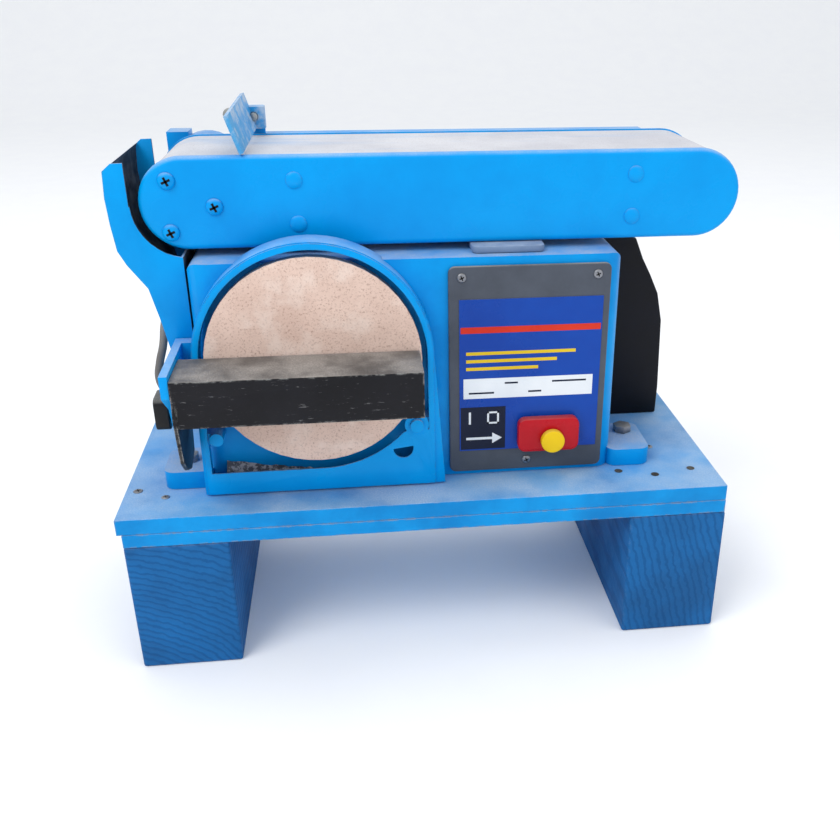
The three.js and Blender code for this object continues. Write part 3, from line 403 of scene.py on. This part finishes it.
# ---------------------------------------------------------------- floor and light
# A plain pale floor that turns up into a wall far behind, a large soft light from above on the left,
# a weaker one on the right and an even pale sky.
floor_verts, floor_faces = [], []
sweep = [(-4.0, 0.0), (3.0, 0.0)] + [
    (3.0 + 1.5 * math.sin(t * math.pi / 16), 1.5 - 1.5 * math.cos(t * math.pi / 16)) for t in range(1, 9)
] + [(4.5, 6.0)]
for y, z in sweep:
    floor_verts += [(-6, y, z), (6, y, z)]
for k in range(len(sweep) - 1):
    floor_faces.append((2 * k, 2 * k + 1, 2 * k + 3, 2 * k + 2))
floor_mesh = bpy.data.meshes.new("floor")
floor_mesh.from_pydata(floor_verts, [], floor_faces)
floor_mesh.shade_smooth()
floor = bpy.data.objects.new("floor", floor_mesh)
scene.collection.objects.link(floor)
paper = surface("backdrop paper", (250, 250, 250), (248, 248, 249), roughness=0.8, bump=0.02)
floor_mesh.materials.append(paper)
scene.view_settings.view_transform = "Standard"
world = bpy.data.worlds.new("sky")
world.use_nodes = True
world.node_tree.nodes["Background"].inputs["Color"].default_value = (0.93, 0.96, 1.0, 1)
world.node_tree.nodes["Background"].inputs["Strength"].default_value = 0.85
scene.world = world
for name, spot, size, power in (
    ("key light", (-1.3, -1.2, 2.1), 1.4, 30),
    ("fill light", (1.7, -1.5, 1.3), 1.8, 9),
    ("top light", (0.2, 0.6, 2.4), 1.6, 12),
):
    lamp = bpy.data.lights.new(name, "AREA")
    lamp.energy = power
    lamp.size = size
    light = bpy.data.objects.new(name, lamp)
    scene.collection.objects.link(light)
    light.location = spot
    light.rotation_euler = (Vector((0, 0, 0.2)) - Vector(spot)).to_track_quat("-Z", "Y").to_euler()

# ---------------------------------------------------------------- timber blocks
# Two lengths of sawn softwood set on end under the board, painted with the same blue as the board; their
# blue is given darker here, as painted shade from the board above. The paint has sunk into the end grain,
# so its rings stand up on the front and back faces.
smooth_tree = bpy.data.node_groups.new("smooth by angle", "GeometryNodeTree")
smooth_tree.interface.new_socket("Mesh", in_out="INPUT", socket_type="NodeSocketGeometry")
smooth_tree.interface.new_socket("Mesh", in_out="OUTPUT", socket_type="NodeSocketGeometry")
mesh_in = smooth_tree.nodes.new("NodeGroupInput").outputs[0]
plain_normals = node(smooth_tree, "GeometryNodeRemoveAttribute", Geometry=mesh_in, Name="custom_normal")
all_smooth = node(smooth_tree, "GeometryNodeSetShadeSmooth", Geometry=plain_normals.outputs[0])
bend = node(smooth_tree, "GeometryNodeInputMeshEdgeAngle").outputs["Unsigned Angle"]
sharp = node(smooth_tree, "ShaderNodeMath", {"operation": "GREATER_THAN"})
join(smooth_tree, sharp.inputs[0], bend)
sharp.inputs[1].default_value = math.radians(32)
sharp_edges = node(
    smooth_tree, "GeometryNodeSetShadeSmooth", {"domain": "EDGE"},
    Geometry=all_smooth.outputs[0], Selection=sharp.outputs[0], Shade_Smooth=False,
)
join(smooth_tree, smooth_tree.nodes.new("NodeGroupOutput").inputs[0], sharp_edges.outputs[0])


def finish_part(part, material, edge=0.0006, segments=2):
    """Gives a part of the frame its material, and the small rounding that its corners really have."""
    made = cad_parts[part]
    made.material_slots[0].link = "OBJECT"
    made.material_slots[0].material = material
    weld = made.modifiers.new("one skin", "WELD")
    weld.merge_threshold = 1e-5
    faces = made.modifiers.new("whole faces", "DECIMATE")
    faces.decimate_type = "DISSOLVE"
    faces.angle_limit = math.radians(1.2)
    if edge:
        rounding = made.modifiers.new("rounded corners", "BEVEL")
        rounding.width = edge
        rounding.segments = segments
        rounding.limit_method = "ANGLE"
        rounding.angle_limit = math.radians(38)
        rounding.use_clamp_overlap = True
    shading = made.modifiers.new("shading", "NODES")
    shading.node_group = smooth_tree
    return made


# Painted shade: the blocks' blue is set darker than the board's, the shade under the board painted into it.
timber_paint_with_shade = surface(
    "painted timber with painted shade", (26, 100, 162), (28, 84, 136), roughness=0.6, wear=0.7, wear_width=0.003,
    wear_colour=(120, 140, 160), dust=0.3, grain=420.0, bump=0.5, shine=0.12,
)
# End grain: rings about a pith below the block, on the faces that look to the front and back; long grain
# runs on the others.
tree = timber_paint_with_shade.node_tree
place = node(tree, "ShaderNodeTexCoord").outputs
wobble = node(tree, "ShaderNodeTexNoise", Vector=place["Object"], Scale=9.0, Detail=3.0)
bent = node(tree, "ShaderNodeVectorMath", {"operation": "MULTIPLY_ADD"})
join(tree, bent.inputs[0], wobble.outputs["Color"])
bent.inputs[1].default_value = (0.02, 0.0, 0.02)
join(tree, bent.inputs[2], place["Object"])
pith = node(tree, "ShaderNodeVectorMath", {"operation": "MULTIPLY_ADD"})
join(tree, pith.inputs[0], bent.outputs[0])
pith.inputs[1].default_value = (1.0, 0.012, 1.0)
pith.inputs[2].default_value = (0.235, 0.0, 0.05)
rings = node(
    tree, "ShaderNodeTexWave", {"wave_type": "RINGS", "rings_direction": "Y"},
    Vector=pith.outputs[0], Scale=58.0, Distortion=3.0, Detail=4.0, Detail_Scale=3.0,
)
ring_height = rings.outputs["Fac"]
shader = tree.nodes["Principled BSDF"]
old_tint = shader.inputs["Base Color"].links[0].from_socket
join(tree, shader.inputs["Base Color"], mixed(
    tree, ramp(tree, ring_height, 0.5, 0.95, 0.0, 0.4), old_tint, rgb(10, 62, 112),
))
old_relief = shader.inputs["Normal"].links[0].from_socket
ring_relief = node(
    tree, "ShaderNodeBump", Strength=0.5, Distance=0.0006, Height=ring_height, Normal=old_relief,
)
join(tree, shader.inputs["Normal"], ring_relief.outputs["Normal"])
for block in ("timber_block_left", "timber_block_right"):
    finish_part(block, timber_paint_with_shade, 0.0022, 3)

# ---------------------------------------------------------------- board
# Two layers of plywood, glued and painted blue, the upper one standing proud of the left block. Dust
# lies all over the top and is wiped off in patches, and one back corner is split down to bare wood.
board_paint = surface(
    "painted board", (6, 146, 216), (4, 118, 186), roughness=0.45, dust=0.95,
    dust_colour=(168, 192, 216), wear=0.8, wear_width=0.002, wear_colour=(150, 130, 100), grain=260.0,
    bump=0.25, patch=16.0, shine=0.15,
)
for layer in ("board_lower", "board_upper"):
    finish_part(layer, board_paint, 0.0014, 3)

raw_wood = surface("split wood", (204, 128, 70), (170, 96, 48), roughness=0.8, grain=700.0, bump=0.8)
random.seed(4)
chip_verts, chip_faces = [], []
for step in range(9):
    ragged = random.uniform(-1.6, 1.6)
    for z in (119.2, 129.2):
        chip_verts.append(moved(-227.75, 74 + 3.2 * step, z + (0.8 * ragged if z > 125 else 0)))
for step in range(8):
    chip_faces.append((2 * step, 2 * step + 1, 2 * step + 3, 2 * step + 2))
chip = piece("board_split_corner", chip_verts, chip_faces, raw_wood, "stand")

screw_steel = surface(
    "screw steel", (150, 152, 158), (116, 118, 124), roughness=0.4, metal=0.9, dust=0.5, grain=900.0,
    wear=0.4, wear_width=0.0006, wear_colour=(200, 200, 205),
)
# Painted shade: a near-black colour laid in screw recesses and on board holes, where only shade falls.
painted_recess_shade = surface("painted recess shade", (20, 20, 22), roughness=0.8, dust=0.2)


def cross_screw(name, middle, radius, axis, material, body, rise=0.0018):
    """A domed screw head with a cross recess, on the face that its axis points away from; the recess is two
    near-black bars of painted shade.
    """
    shell = bmesh.new()
    rows, sides = 5, 32
    cross = radius * 0.52
    grid = []
    for row in range(rows + 1):
        angle = row / rows * math.pi / 2
        ring = []
        for side in range(sides):
            turn = 2 * math.pi * side / sides
            ring.append(shell.verts.new((
                radius * math.cos(angle) * math.cos(turn), radius * math.cos(angle) * math.sin(turn),
                rise * math.sin(angle) + 0.0002,
            )) if row < rows else None)
        grid.append(ring)
    crown = shell.verts.new((0, 0, rise + 0.0002))
    for row in range(rows - 1):
        for side in range(sides):
            n = (side + 1) % sides
            shell.faces.new((grid[row][side], grid[row][n], grid[row + 1][n], grid[row + 1][side]))
    for side in range(sides):
        shell.faces.new((grid[rows - 1][side], grid[rows - 1][(side + 1) % sides], crown))
    shell.faces.new([grid[0][side] for side in reversed(range(sides))])
    spin = Vector((0, 0, 1)).rotation_difference(Vector(axis)).to_matrix().to_4x4()
    mesh = bpy.data.meshes.new(name)
    shell.to_mesh(mesh)
    shell.free()
    mesh.transform(Matrix.Translation(Vector(middle)) @ spin)
    mesh.shade_smooth()
    head = bpy.data.objects.new(name, mesh)
    scene.collection.objects.link(head)
    mesh.materials.append(material)
    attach(head, body)
    # The cross recess as two near-black bars on the dome: painted shade in place of its depth.
    for turn, way in enumerate((0.4, 0.4 + math.pi / 2)):
        long, short = cross, radius * 0.13
        corners = [(-long, -short), (long, -short), (long, short), (-long, short)]
        verts = [
            Vector((x * math.cos(way) - y * math.sin(way), x * math.sin(way) + y * math.cos(way), z))
            for z in (rise - 0.0004, rise + 0.00025) for x, y in corners
        ]
        verts = [Vector(middle) + spin.to_3x3() @ v for v in verts]
        faces = [(0, 1, 2, 3), (4, 5, 6, 7), (0, 1, 5, 4), (1, 2, 6, 5), (2, 3, 7, 6), (3, 0, 4, 7)]
        slot = piece(f"{name}_slot_{turn}", verts, faces, painted_recess_shade, body)
    return head


for number, (x, y, radius) in enumerate([
    (-218, -60, 3.6), (-196, -72, 3.2), (-200, -16, 3.4), (186, -30, 3.2),
]):
    cross_screw(f"board_screw_{number}", moved(x, y, 130), radius / 1000, (0, 0, 1), screw_steel, "stand", 0.0007)
# Holes in the board, drawn as thin near-black discs on its face: painted shade in place of their depth.
for number, (x, y) in enumerate([(177, -79), (208, -72), (150, -70)]):
    turned(
        f"board_hole_shade_{number}", [(0, 0.0001), (0.0028, 0.0001), (0.0032, 0.0003), (0, 0.0003)],
        moved(x, y, 130), (0, 0, 1), painted_recess_shade, "stand", 16,
    )

# ---------------------------------------------------------------- base casting
# The hollow cast body that everything hangs on, with four bolted feet. Enamelled bright blue over a
# rough casting; sawdust cakes on every ledge.
cast_enamel = surface(
    "cast enamel", (0, 148, 220), (0, 128, 202), roughness=0.34, dust=0.85, dust_colour=(172, 182, 196),
    wear=0.6, wear_width=0.0015, wear_colour=(90, 130, 165), grain=420.0, bump=0.22, shine=0.12,
)
finish_part("base_casting", cast_enamel, 0.0016, 3)
for number in range(1, 5):
    finish_part(f"hold_down_bolt_{number}", screw_steel, 0.0005)

# ---------------------------------------------------------------- disc guard
# A pressed and welded hood round the disc and a thin plate that closes its face below the table. Both
# are sprayed blue and powdered inside with grit.
sheet_enamel = surface(
    "sheet enamel", (0, 153, 226), (0, 142, 216), roughness=0.28, dust=0.75, dust_colour=(165, 186, 210),
    wear=0.75, wear_width=0.0012, wear_colour=(70, 90, 110), grain=300.0, bump=0.1, shine=0.12,
)
finish_part("disc_shroud", sheet_enamel, 0.0009)
finish_part("disc_cover_plate", sheet_enamel, 0.0004)

# Grit that has piled up in the bottom of the guard.
grit = surface("caked grit", (120, 122, 126), (66, 68, 74), roughness=0.95, grain=900.0, bump=1.0, shine=0.05)
tree = grit.node_tree
shader = tree.nodes["Principled BSDF"]
place = node(tree, "ShaderNodeTexCoord").outputs
clods = ramp(tree, noise(tree, place["Object"], 190.0, 6.0, 0.75), 0.46, 0.58, 0.0, 0.9)
tint = shader.inputs["Base Color"].links[0].from_socket
join(tree, shader.inputs["Base Color"], mixed(tree, clods, tint, rgb(172, 172, 176)))
random.seed(11)
heap_verts, heap_faces = [], []
HEAP_COLUMNS, HEAP_ROWS = 36, 5
for row in range(HEAP_ROWS):
    for column in range(HEAP_COLUMNS):
        share, depth = column / (HEAP_COLUMNS - 1), row / (HEAP_ROWS - 1)
        x = -150 + 112 * share
        rise = (3 + 13 * (1 - share) ** 1.6) * (0.35 + 0.65 * depth) + random.uniform(-0.6, 0.6)
        heap_verts.append(moved(x, -73 + 12 * depth, 136.6 + max(rise, 0.2)))
for row in range(HEAP_ROWS - 1):
    for column in range(HEAP_COLUMNS - 1):
        a = row * HEAP_COLUMNS + column
        heap_faces.append((a, a + 1, a + HEAP_COLUMNS + 1, a + HEAP_COLUMNS))
heap = piece("guard_grit", heap_verts, heap_faces, grit, "stand", 80)

# ---------------------------------------------------------------- motor
# An induction motor inside the base: cast end bells, laminated core with copper windings, a steel
# shaft on ball bearings, a cooling fan at its back and a capacitor beside it.
bare_casting = surface(
    "bare casting", (112, 114, 118), (84, 86, 90), roughness=0.6, metal=0.5, dust=0.6, grain=500.0, bump=0.5,
)
ground_steel = surface(
    "ground steel", (176, 178, 184), (140, 142, 148), roughness=0.3, metal=1.0, grain=1200.0, bump=0.06,
)
turned_aluminium = surface(
    "turned aluminium", (190, 192, 196), (160, 162, 168), roughness=0.35, metal=1.0, dust=0.4, grain=900.0,
)
windings = surface("windings", (176, 92, 44), (120, 56, 26), roughness=0.4, metal=0.6, grain=1600.0, bump=0.6)
fan_plastic = surface("fan plastic", (34, 34, 36), (24, 24, 26), roughness=0.5, dust=0.7)
for part in ("motor_housing", "motor_end_bell_front", "motor_end_bell_rear", "rotor_core"):
    finish_part(part, bare_casting, 0.0006)
for part in ("motor_shaft", "front_bearing", "rear_bearing", "drum_rear_bearing"):
    finish_part(part, ground_steel, 0.0003)
for part in ("disc_plate", "motor_pulley", "drum_pulley", "run_capacitor"):
    finish_part(part, turned_aluminium, 0.0003)
finish_part("stator_core", windings, 0.0006)
finish_part("cooling_fan", fan_plastic, 0.0003)

# ---------------------------------------------------------------- sanding disc
# A six inch cloth-backed disc of coarse grit, stuck to its aluminium plate. Use has smeared it with
# wood dust in patches.
disc_grit = surface(
    "disc grit", (226, 200, 186), (206, 178, 164), roughness=0.9, grain=1500.0, bump=0.8, wear=0.6,
    wear_width=0.001, wear_colour=(120, 100, 90),
)
tree = disc_grit.node_tree
place = node(tree, "ShaderNodeTexCoord").outputs
shader = tree.nodes["Principled BSDF"]
tint = shader.inputs["Base Color"].links[0].from_socket
coarse = ramp(tree, noise(tree, place["Object"], 620.0, 4.0, 0.8), 0.52, 0.64, 0.0, 0.6)
tint = mixed(tree, coarse, tint, rgb(150, 116, 104))
smear = ramp(tree, noise(tree, place["Object"], 32.0, 5.0, 0.6), 0.48, 0.68, 0.0, 0.4)
join(tree, shader.inputs["Base Color"], mixed(tree, smear, tint, rgb(238, 224, 214)))
finish_part("abrasive_disc", disc_grit, 0.0002)

# ---------------------------------------------------------------- switch panel
# A moulded grey panel screwed to the front of the base, with a printed film on it: a blue field, a
# blank rating table and a safety switch, a red paddle with a yellow key that pulls out.
panel_plastic = surface(
    "panel plastic", (78, 84, 95), (64, 69, 78), roughness=0.45, dust=0.5, wear=0.7, wear_width=0.0014,
    wear_colour=(165, 168, 174), grain=1100.0, bump=0.25,
)
finish_part("switch_panel", panel_plastic, 0.0012, 3)
finish_part("switch_body", fan_plastic, 0.0006)
label_film = surface(
    "label film", (6, 66, 160), (5, 56, 146), roughness=0.25, dust=0.4, grain=200.0, bump=0.03,
)
finish_part("label_plate", label_film, 0.0)
film_white = surface("printed white", (222, 226, 230), (206, 212, 218), roughness=0.35, dust=0.2)
film_red = surface("printed red", (206, 52, 30), (190, 40, 24), roughness=0.35)
film_yellow = surface("printed yellow", (222, 190, 40), (206, 172, 30), roughness=0.35)
film_dark = surface("printed dark", (12, 24, 52), (8, 18, 40), roughness=0.4)


def print_on_film(name, left, right, bottom, top, material, lift=0.08, slope=0.0):
    """A printed field on the label's face, between four edges in millimetres."""
    y = -64.6 - lift
    verts = [
        moved(left, y, bottom + slope), moved(right, y, bottom), moved(right, y, top),
        moved(left, y, top + slope),
    ]
    printed = piece(name, verts, [(0, 1, 2, 3)], material, "stand")
    return printed


print_on_film("label_stripe", 26, 130, 246.4, 251.2, film_red)
print_on_film("label_table", 28, 126, 195, 211, film_white)
for column, (left, right) in enumerate(((29, 55), (56, 73), (74, 91), (92, 125))):
    for row, bottom in enumerate((196, 203.5)):
        shade = film_white if (row + column) % 2 else film_dark
        if shade is film_dark:
            print_on_film(
                f"label_cell_{column}_{row}", left + 3, right - 4, bottom + 2.6, bottom + 4, film_dark, 0.12,
            )
for row in range(3):
    print_on_film(f"label_bar_{row}", 30, 112 - 14 * row, 229.5 - 6 * row, 232 - 6 * row, film_yellow)
print_on_film("label_legend", 25.8, 60, 153, 188, film_dark)
for number, (left, right, bottom, top) in enumerate((
    (32, 33.6, 174, 184), (46, 55, 174, 175.4), (46, 55, 182.6, 184), (46, 47.4, 174, 184), (53.6, 55, 174, 184),
    (30, 50, 161, 163),
)):
    print_on_film(f"label_sign_{number}", left, right, bottom, top, film_white, 0.12)
arrow = piece(
    "label_arrow", [moved(50, -64.72, 157.5), moved(57.5, -64.72, 162), moved(50, -64.72, 166.5)],
    [(0, 1, 2)], film_white, "stand",
)
for number, (x, z) in enumerate(((27, 288), (126, 288), (77, 142))):
    cross_screw(f"panel_screw_{number}", moved(x, -64, z), 0.0034, (0, -1, 0), screw_steel, "stand", 0.0012)
paddle_plastic = surface(
    "paddle plastic", (180, 12, 30), (160, 8, 24), roughness=0.3, wear=0.4, wear_width=0.0012,
    wear_colour=(220, 90, 90), dust=0.2, grain=900.0,
)
key_plastic = surface("key plastic", (226, 190, 16), (206, 168, 8), roughness=0.35, dust=0.2, grain=900.0)
finish_part("switch_paddle", paddle_plastic, 0.0014, 3)
finish_part("switch_key", key_plastic, 0.0008, 3)

# ---------------------------------------------------------------- sanding bed
# Two long blue side plates either side of a cast bed, a rubber-covered drive drum at the left and an
# aluminium idler at the right, and a four inch belt round them. The front plate is pressed with a
# rolled edge and held by rivets and screws.
LEFT_AXIS, RIGHT_AXIS, AXIS_HEIGHT, END_RADIUS = -160.4, 202.6, 339.1, 31.6
plate_profile = [(4.0 - 4.0 * math.sin(t * math.pi / 10), -41.8 + 4.0 - 4.0 * math.cos(t * math.pi / 10)) for t in range(6)]
plate_profile += [(0.0, -36.2), (0.85, -36.2), (0.9, -38.2), (1.8, -39.6), (3.4, -40.3)]
plate_verts, plate_faces = [], []
for inset, y in plate_profile:
    radius = END_RADIUS - inset
    for middle, start in ((RIGHT_AXIS, -90), (LEFT_AXIS, 90)):
        for step in range(25):
            angle = math.radians(start + 7.5 * step)
            plate_verts.append(moved(middle + radius * math.cos(angle), y, AXIS_HEIGHT + radius * math.sin(angle)))
for loop in range(len(plate_profile) - 1):
    for k in range(50):
        a, b = loop * 50 + k, loop * 50 + (k + 1) % 50
        plate_faces.append((a, b, b + 50, a + 50))
plate_faces += [tuple(range(50)), tuple(range(len(plate_verts) - 50, len(plate_verts)))]
front_plate = piece("bed_side_pressing", plate_verts, plate_faces, sheet_enamel, "bed", 60)
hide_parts("bed_front_plate")
finish_part("bed_rear_plate", sheet_enamel, 0.0006)
finish_part("bed_frame", bare_casting, 0.0006)
finish_part("drum_bearing_cap", bare_casting, 0.0005)
drum_rubber = surface("drum rubber", (40, 40, 42), (30, 30, 32), roughness=0.7, dust=0.4, grain=700.0, bump=0.4)
finish_part("drive_drum", drum_rubber, 0.0004)
finish_part("idler_drum", turned_aluminium, 0.0004)
finish_part("idler_carriage", bare_casting, 0.0005)
finish_part("tension_spring", ground_steel, 0.0)
zinc = surface(
    "zinc plate", (176, 178, 176), (150, 150, 140), roughness=0.38, metal=0.9, dust=0.4, grain=800.0,
)
for number, (x, z) in enumerate(((-171, 355), (-141, 337), (-172, 320))):
    cross_screw(f"bed_screw_{number}", moved(x, -41.8, z), 0.006, (0, -1, 0), sheet_enamel, "bed", 0.003)
for number, (x, z) in enumerate(((-86, 354), (-85, 324), (155, 354), (154, 324))):
    rivet = turned(
        f"bed_rivet_{number}",
        [(0, 0), (0.0058, 0), (0.0057, 0.0006), (0.0046, 0.0014), (0.0024, 0.0019), (0, 0.002)],
        moved(x, -41.8, z), (0, -1, 0), sheet_enamel, "bed", 28,
    )

belt_cloth = surface(
    "belt cloth", (206, 206, 210), (190, 190, 196), roughness=0.85, grain=2200.0, bump=0.7, wear=0.7,
    wear_width=0.0012, wear_colour=(150, 140, 130),
)
tree = belt_cloth.node_tree
place = node(tree, "ShaderNodeTexCoord").outputs
shader = tree.nodes["Principled BSDF"]
tint = shader.inputs["Base Color"].links[0].from_socket
along = node(tree, "ShaderNodeMapping", Vector=place["Object"])
along.inputs["Scale"].default_value = (0.5, 3.0, 1.0)
blue_smear = ramp(tree, noise(tree, along.outputs["Vector"], 11.0, 6.0, 0.62), 0.5, 0.74, 0.0, 0.55)
tint = mixed(tree, blue_smear, tint, rgb(140, 176, 214))
speckle = ramp(tree, noise(tree, place["Object"], 1100.0, 2.0, 0.6), 0.55, 0.7, 0.0, 0.4)
tint = mixed(tree, speckle, tint, rgb(150, 140, 134))
join(tree, shader.inputs["Base Color"], tint)
finish_part("sanding_belt", belt_cloth, 0.0)

# ---------------------------------------------------------------- work stop
# A folded steel fence across the left end of the belt, hung on a bolt in the rear plate. It is scuffed
# in patches by the work.
stop_enamel = surface(
    "scuffed enamel", (10, 140, 206), (70, 150, 200), roughness=0.45, dust=0.8, dust_colour=(190, 200, 212),
    wear=0.9, wear_width=0.002, wear_colour=(120, 140, 160), grain=220.0, bump=0.3, patch=60.0,
)
tree = stop_enamel.node_tree
place = node(tree, "ShaderNodeTexCoord").outputs
shader = tree.nodes["Principled BSDF"]
tint = shader.inputs["Base Color"].links[0].from_socket
scuff = ramp(tree, noise(tree, place["Object"], 70.0, 8.0, 0.7), 0.42, 0.62, 0.0, 0.75)
join(tree, shader.inputs["Base Color"], mixed(tree, scuff, tint, rgb(176, 190, 204)))
finish_part("work_stop", stop_enamel, 0.0008, 3)
finish_part("work_stop_bolt", zinc, 0.0006)

# ---------------------------------------------------------------- dust chute
# A folded sheet hood that catches what the belt throws off at its left end and drops it behind the
# machine. Blue outside; inside, the faces that look towards the drum and the front wall carry painted shade, near
# black to dark grey in streaks.
chute_enamel = surface(
    "chute enamel", (0, 150, 222), (0, 134, 206), roughness=0.35, dust=0.8, dust_colour=(165, 186, 210),
    wear=0.8, wear_width=0.0014, wear_colour=(60, 80, 100), grain=300.0, bump=0.15, shine=0.12,
)
tree = chute_enamel.node_tree
place = node(tree, "ShaderNodeTexCoord").outputs
shader = tree.nodes["Principled BSDF"]
tint = shader.inputs["Base Color"].links[0].from_socket
face = node(tree, "ShaderNodeSeparateXYZ", Vector=place["Normal"]).outputs
spot = node(tree, "ShaderNodeSeparateXYZ", Vector=place["Object"]).outputs
# Painted shade inside the hood: faces that look towards the drum, and the inner face of the front wall, are
# darkened to near black in streaks.
to_drum = ramp(tree, face["X"], 0.2, 0.5)
front_wall = sum_of(
    tree, "MULTIPLY", ramp(tree, face["Y"], 0.3, 0.6), ramp(tree, spot["Y"], 0.02, 0.0),
)
inside = sum_of(tree, "MAXIMUM", to_drum, front_wall)
streaks = ramp(tree, noise(tree, place["Object"], 60.0, 6.0, 0.7), 0.35, 0.7)
inner_painted_shade = mixed(tree, streaks, rgb(26, 30, 38), rgb(84, 88, 94))
join(tree, shader.inputs["Base Color"], mixed(tree, inside, tint, inner_painted_shade))
finish_part("dust_chute", chute_enamel, 0.0006)

# ---------------------------------------------------------------- disc table
# A cast table that tilts on an arm beside the disc. Black enamel, worn grey along its edges and over
# its top; the blue arm carries the pivot and the black hand knob that locks it.
table_enamel = surface(
    "table enamel", (12, 12, 17), (22, 22, 28), roughness=0.42, dust=1.0, dust_colour=(158, 152, 146),
    wear=0.95, wear_width=0.0022, wear_colour=(150, 150, 148), grain=300.0, bump=0.3, patch=30.0,
)
tree = table_enamel.node_tree
place = node(tree, "ShaderNodeTexCoord").outputs
shader = tree.nodes["Principled BSDF"]
tint = shader.inputs["Base Color"].links[0].from_socket
along = node(tree, "ShaderNodeMapping", Vector=place["Object"])
along.inputs["Scale"].default_value = (1.0, 9.0, 6.0)
along.inputs["Rotation"].default_value = (0.3, 0.2, 0.5)
scratch = ramp(tree, noise(tree, along.outputs["Vector"], 90.0, 4.0, 0.8), 0.62, 0.7, 0.0, 0.5)
join(tree, shader.inputs["Base Color"], mixed(tree, scratch, tint, rgb(130, 130, 132)))
finish_part("disc_table", table_enamel, 0.0022, 4)
finish_part("table_arm", sheet_enamel, 0.0014, 3)
knob_plastic = surface(
    "knob plastic", (24, 24, 26), (32, 32, 34), roughness=0.4, dust=0.9, wear=0.6, wear_width=0.0014,
    wear_colour=(120, 120, 118), grain=800.0,
)
finish_part("table_lock_knob", knob_plastic, 0.0012, 3)

# ---------------------------------------------------------------- housing, covers and drive
# The belt housing at the back carries the drums' bearings and the pivot; a sheet cover closes it over
# a toothless belt on two pulleys. A black moulded cover shuts in the capacitor and the terminals.
for part in ("drive_housing", "drive_cover"):
    finish_part(part, cast_enamel, 0.0012, 3)
drive_rubber = surface("drive belt", (30, 30, 32), (22, 22, 24), roughness=0.6, dust=0.5, grain=900.0)
finish_part("drive_belt", drive_rubber, 0.0003)
cover_plastic = surface(
    "cover plastic", (4, 5, 12), (14, 15, 24), roughness=0.5, dust=1.0, dust_colour=(150, 148, 150),
    wear=0.5, wear_width=0.0015, wear_colour=(90, 92, 100), grain=900.0, bump=0.2,
)
finish_part("electrics_cover", cover_plastic, 0.003, 4)
for part in ("cover_screw_left", "cover_screw_right"):
    finish_part(part, sheet_enamel, 0.0004)

# ---------------------------------------------------------------- hand levers and the rest pad
# Plated levers lock the bed and slacken the belt, a plastic knob steers it, and a strip of hard grey
# rubber under the bed is where it rests.
finish_part("tension_lever", zinc, 0.0008)
finish_part("bed_lock_lever", zinc, 0.0008)
finish_part("tracking_knob", knob_plastic, 0.001)
pad_rubber = surface(
    "pad rubber", (120, 140, 168), (92, 110, 140), roughness=0.8, dust=0.6, dust_colour=(180, 190, 200),
    grain=260.0, bump=0.6, patch=80.0,
)
finish_part("bed_rest_pad", pad_rubber, 0.001)
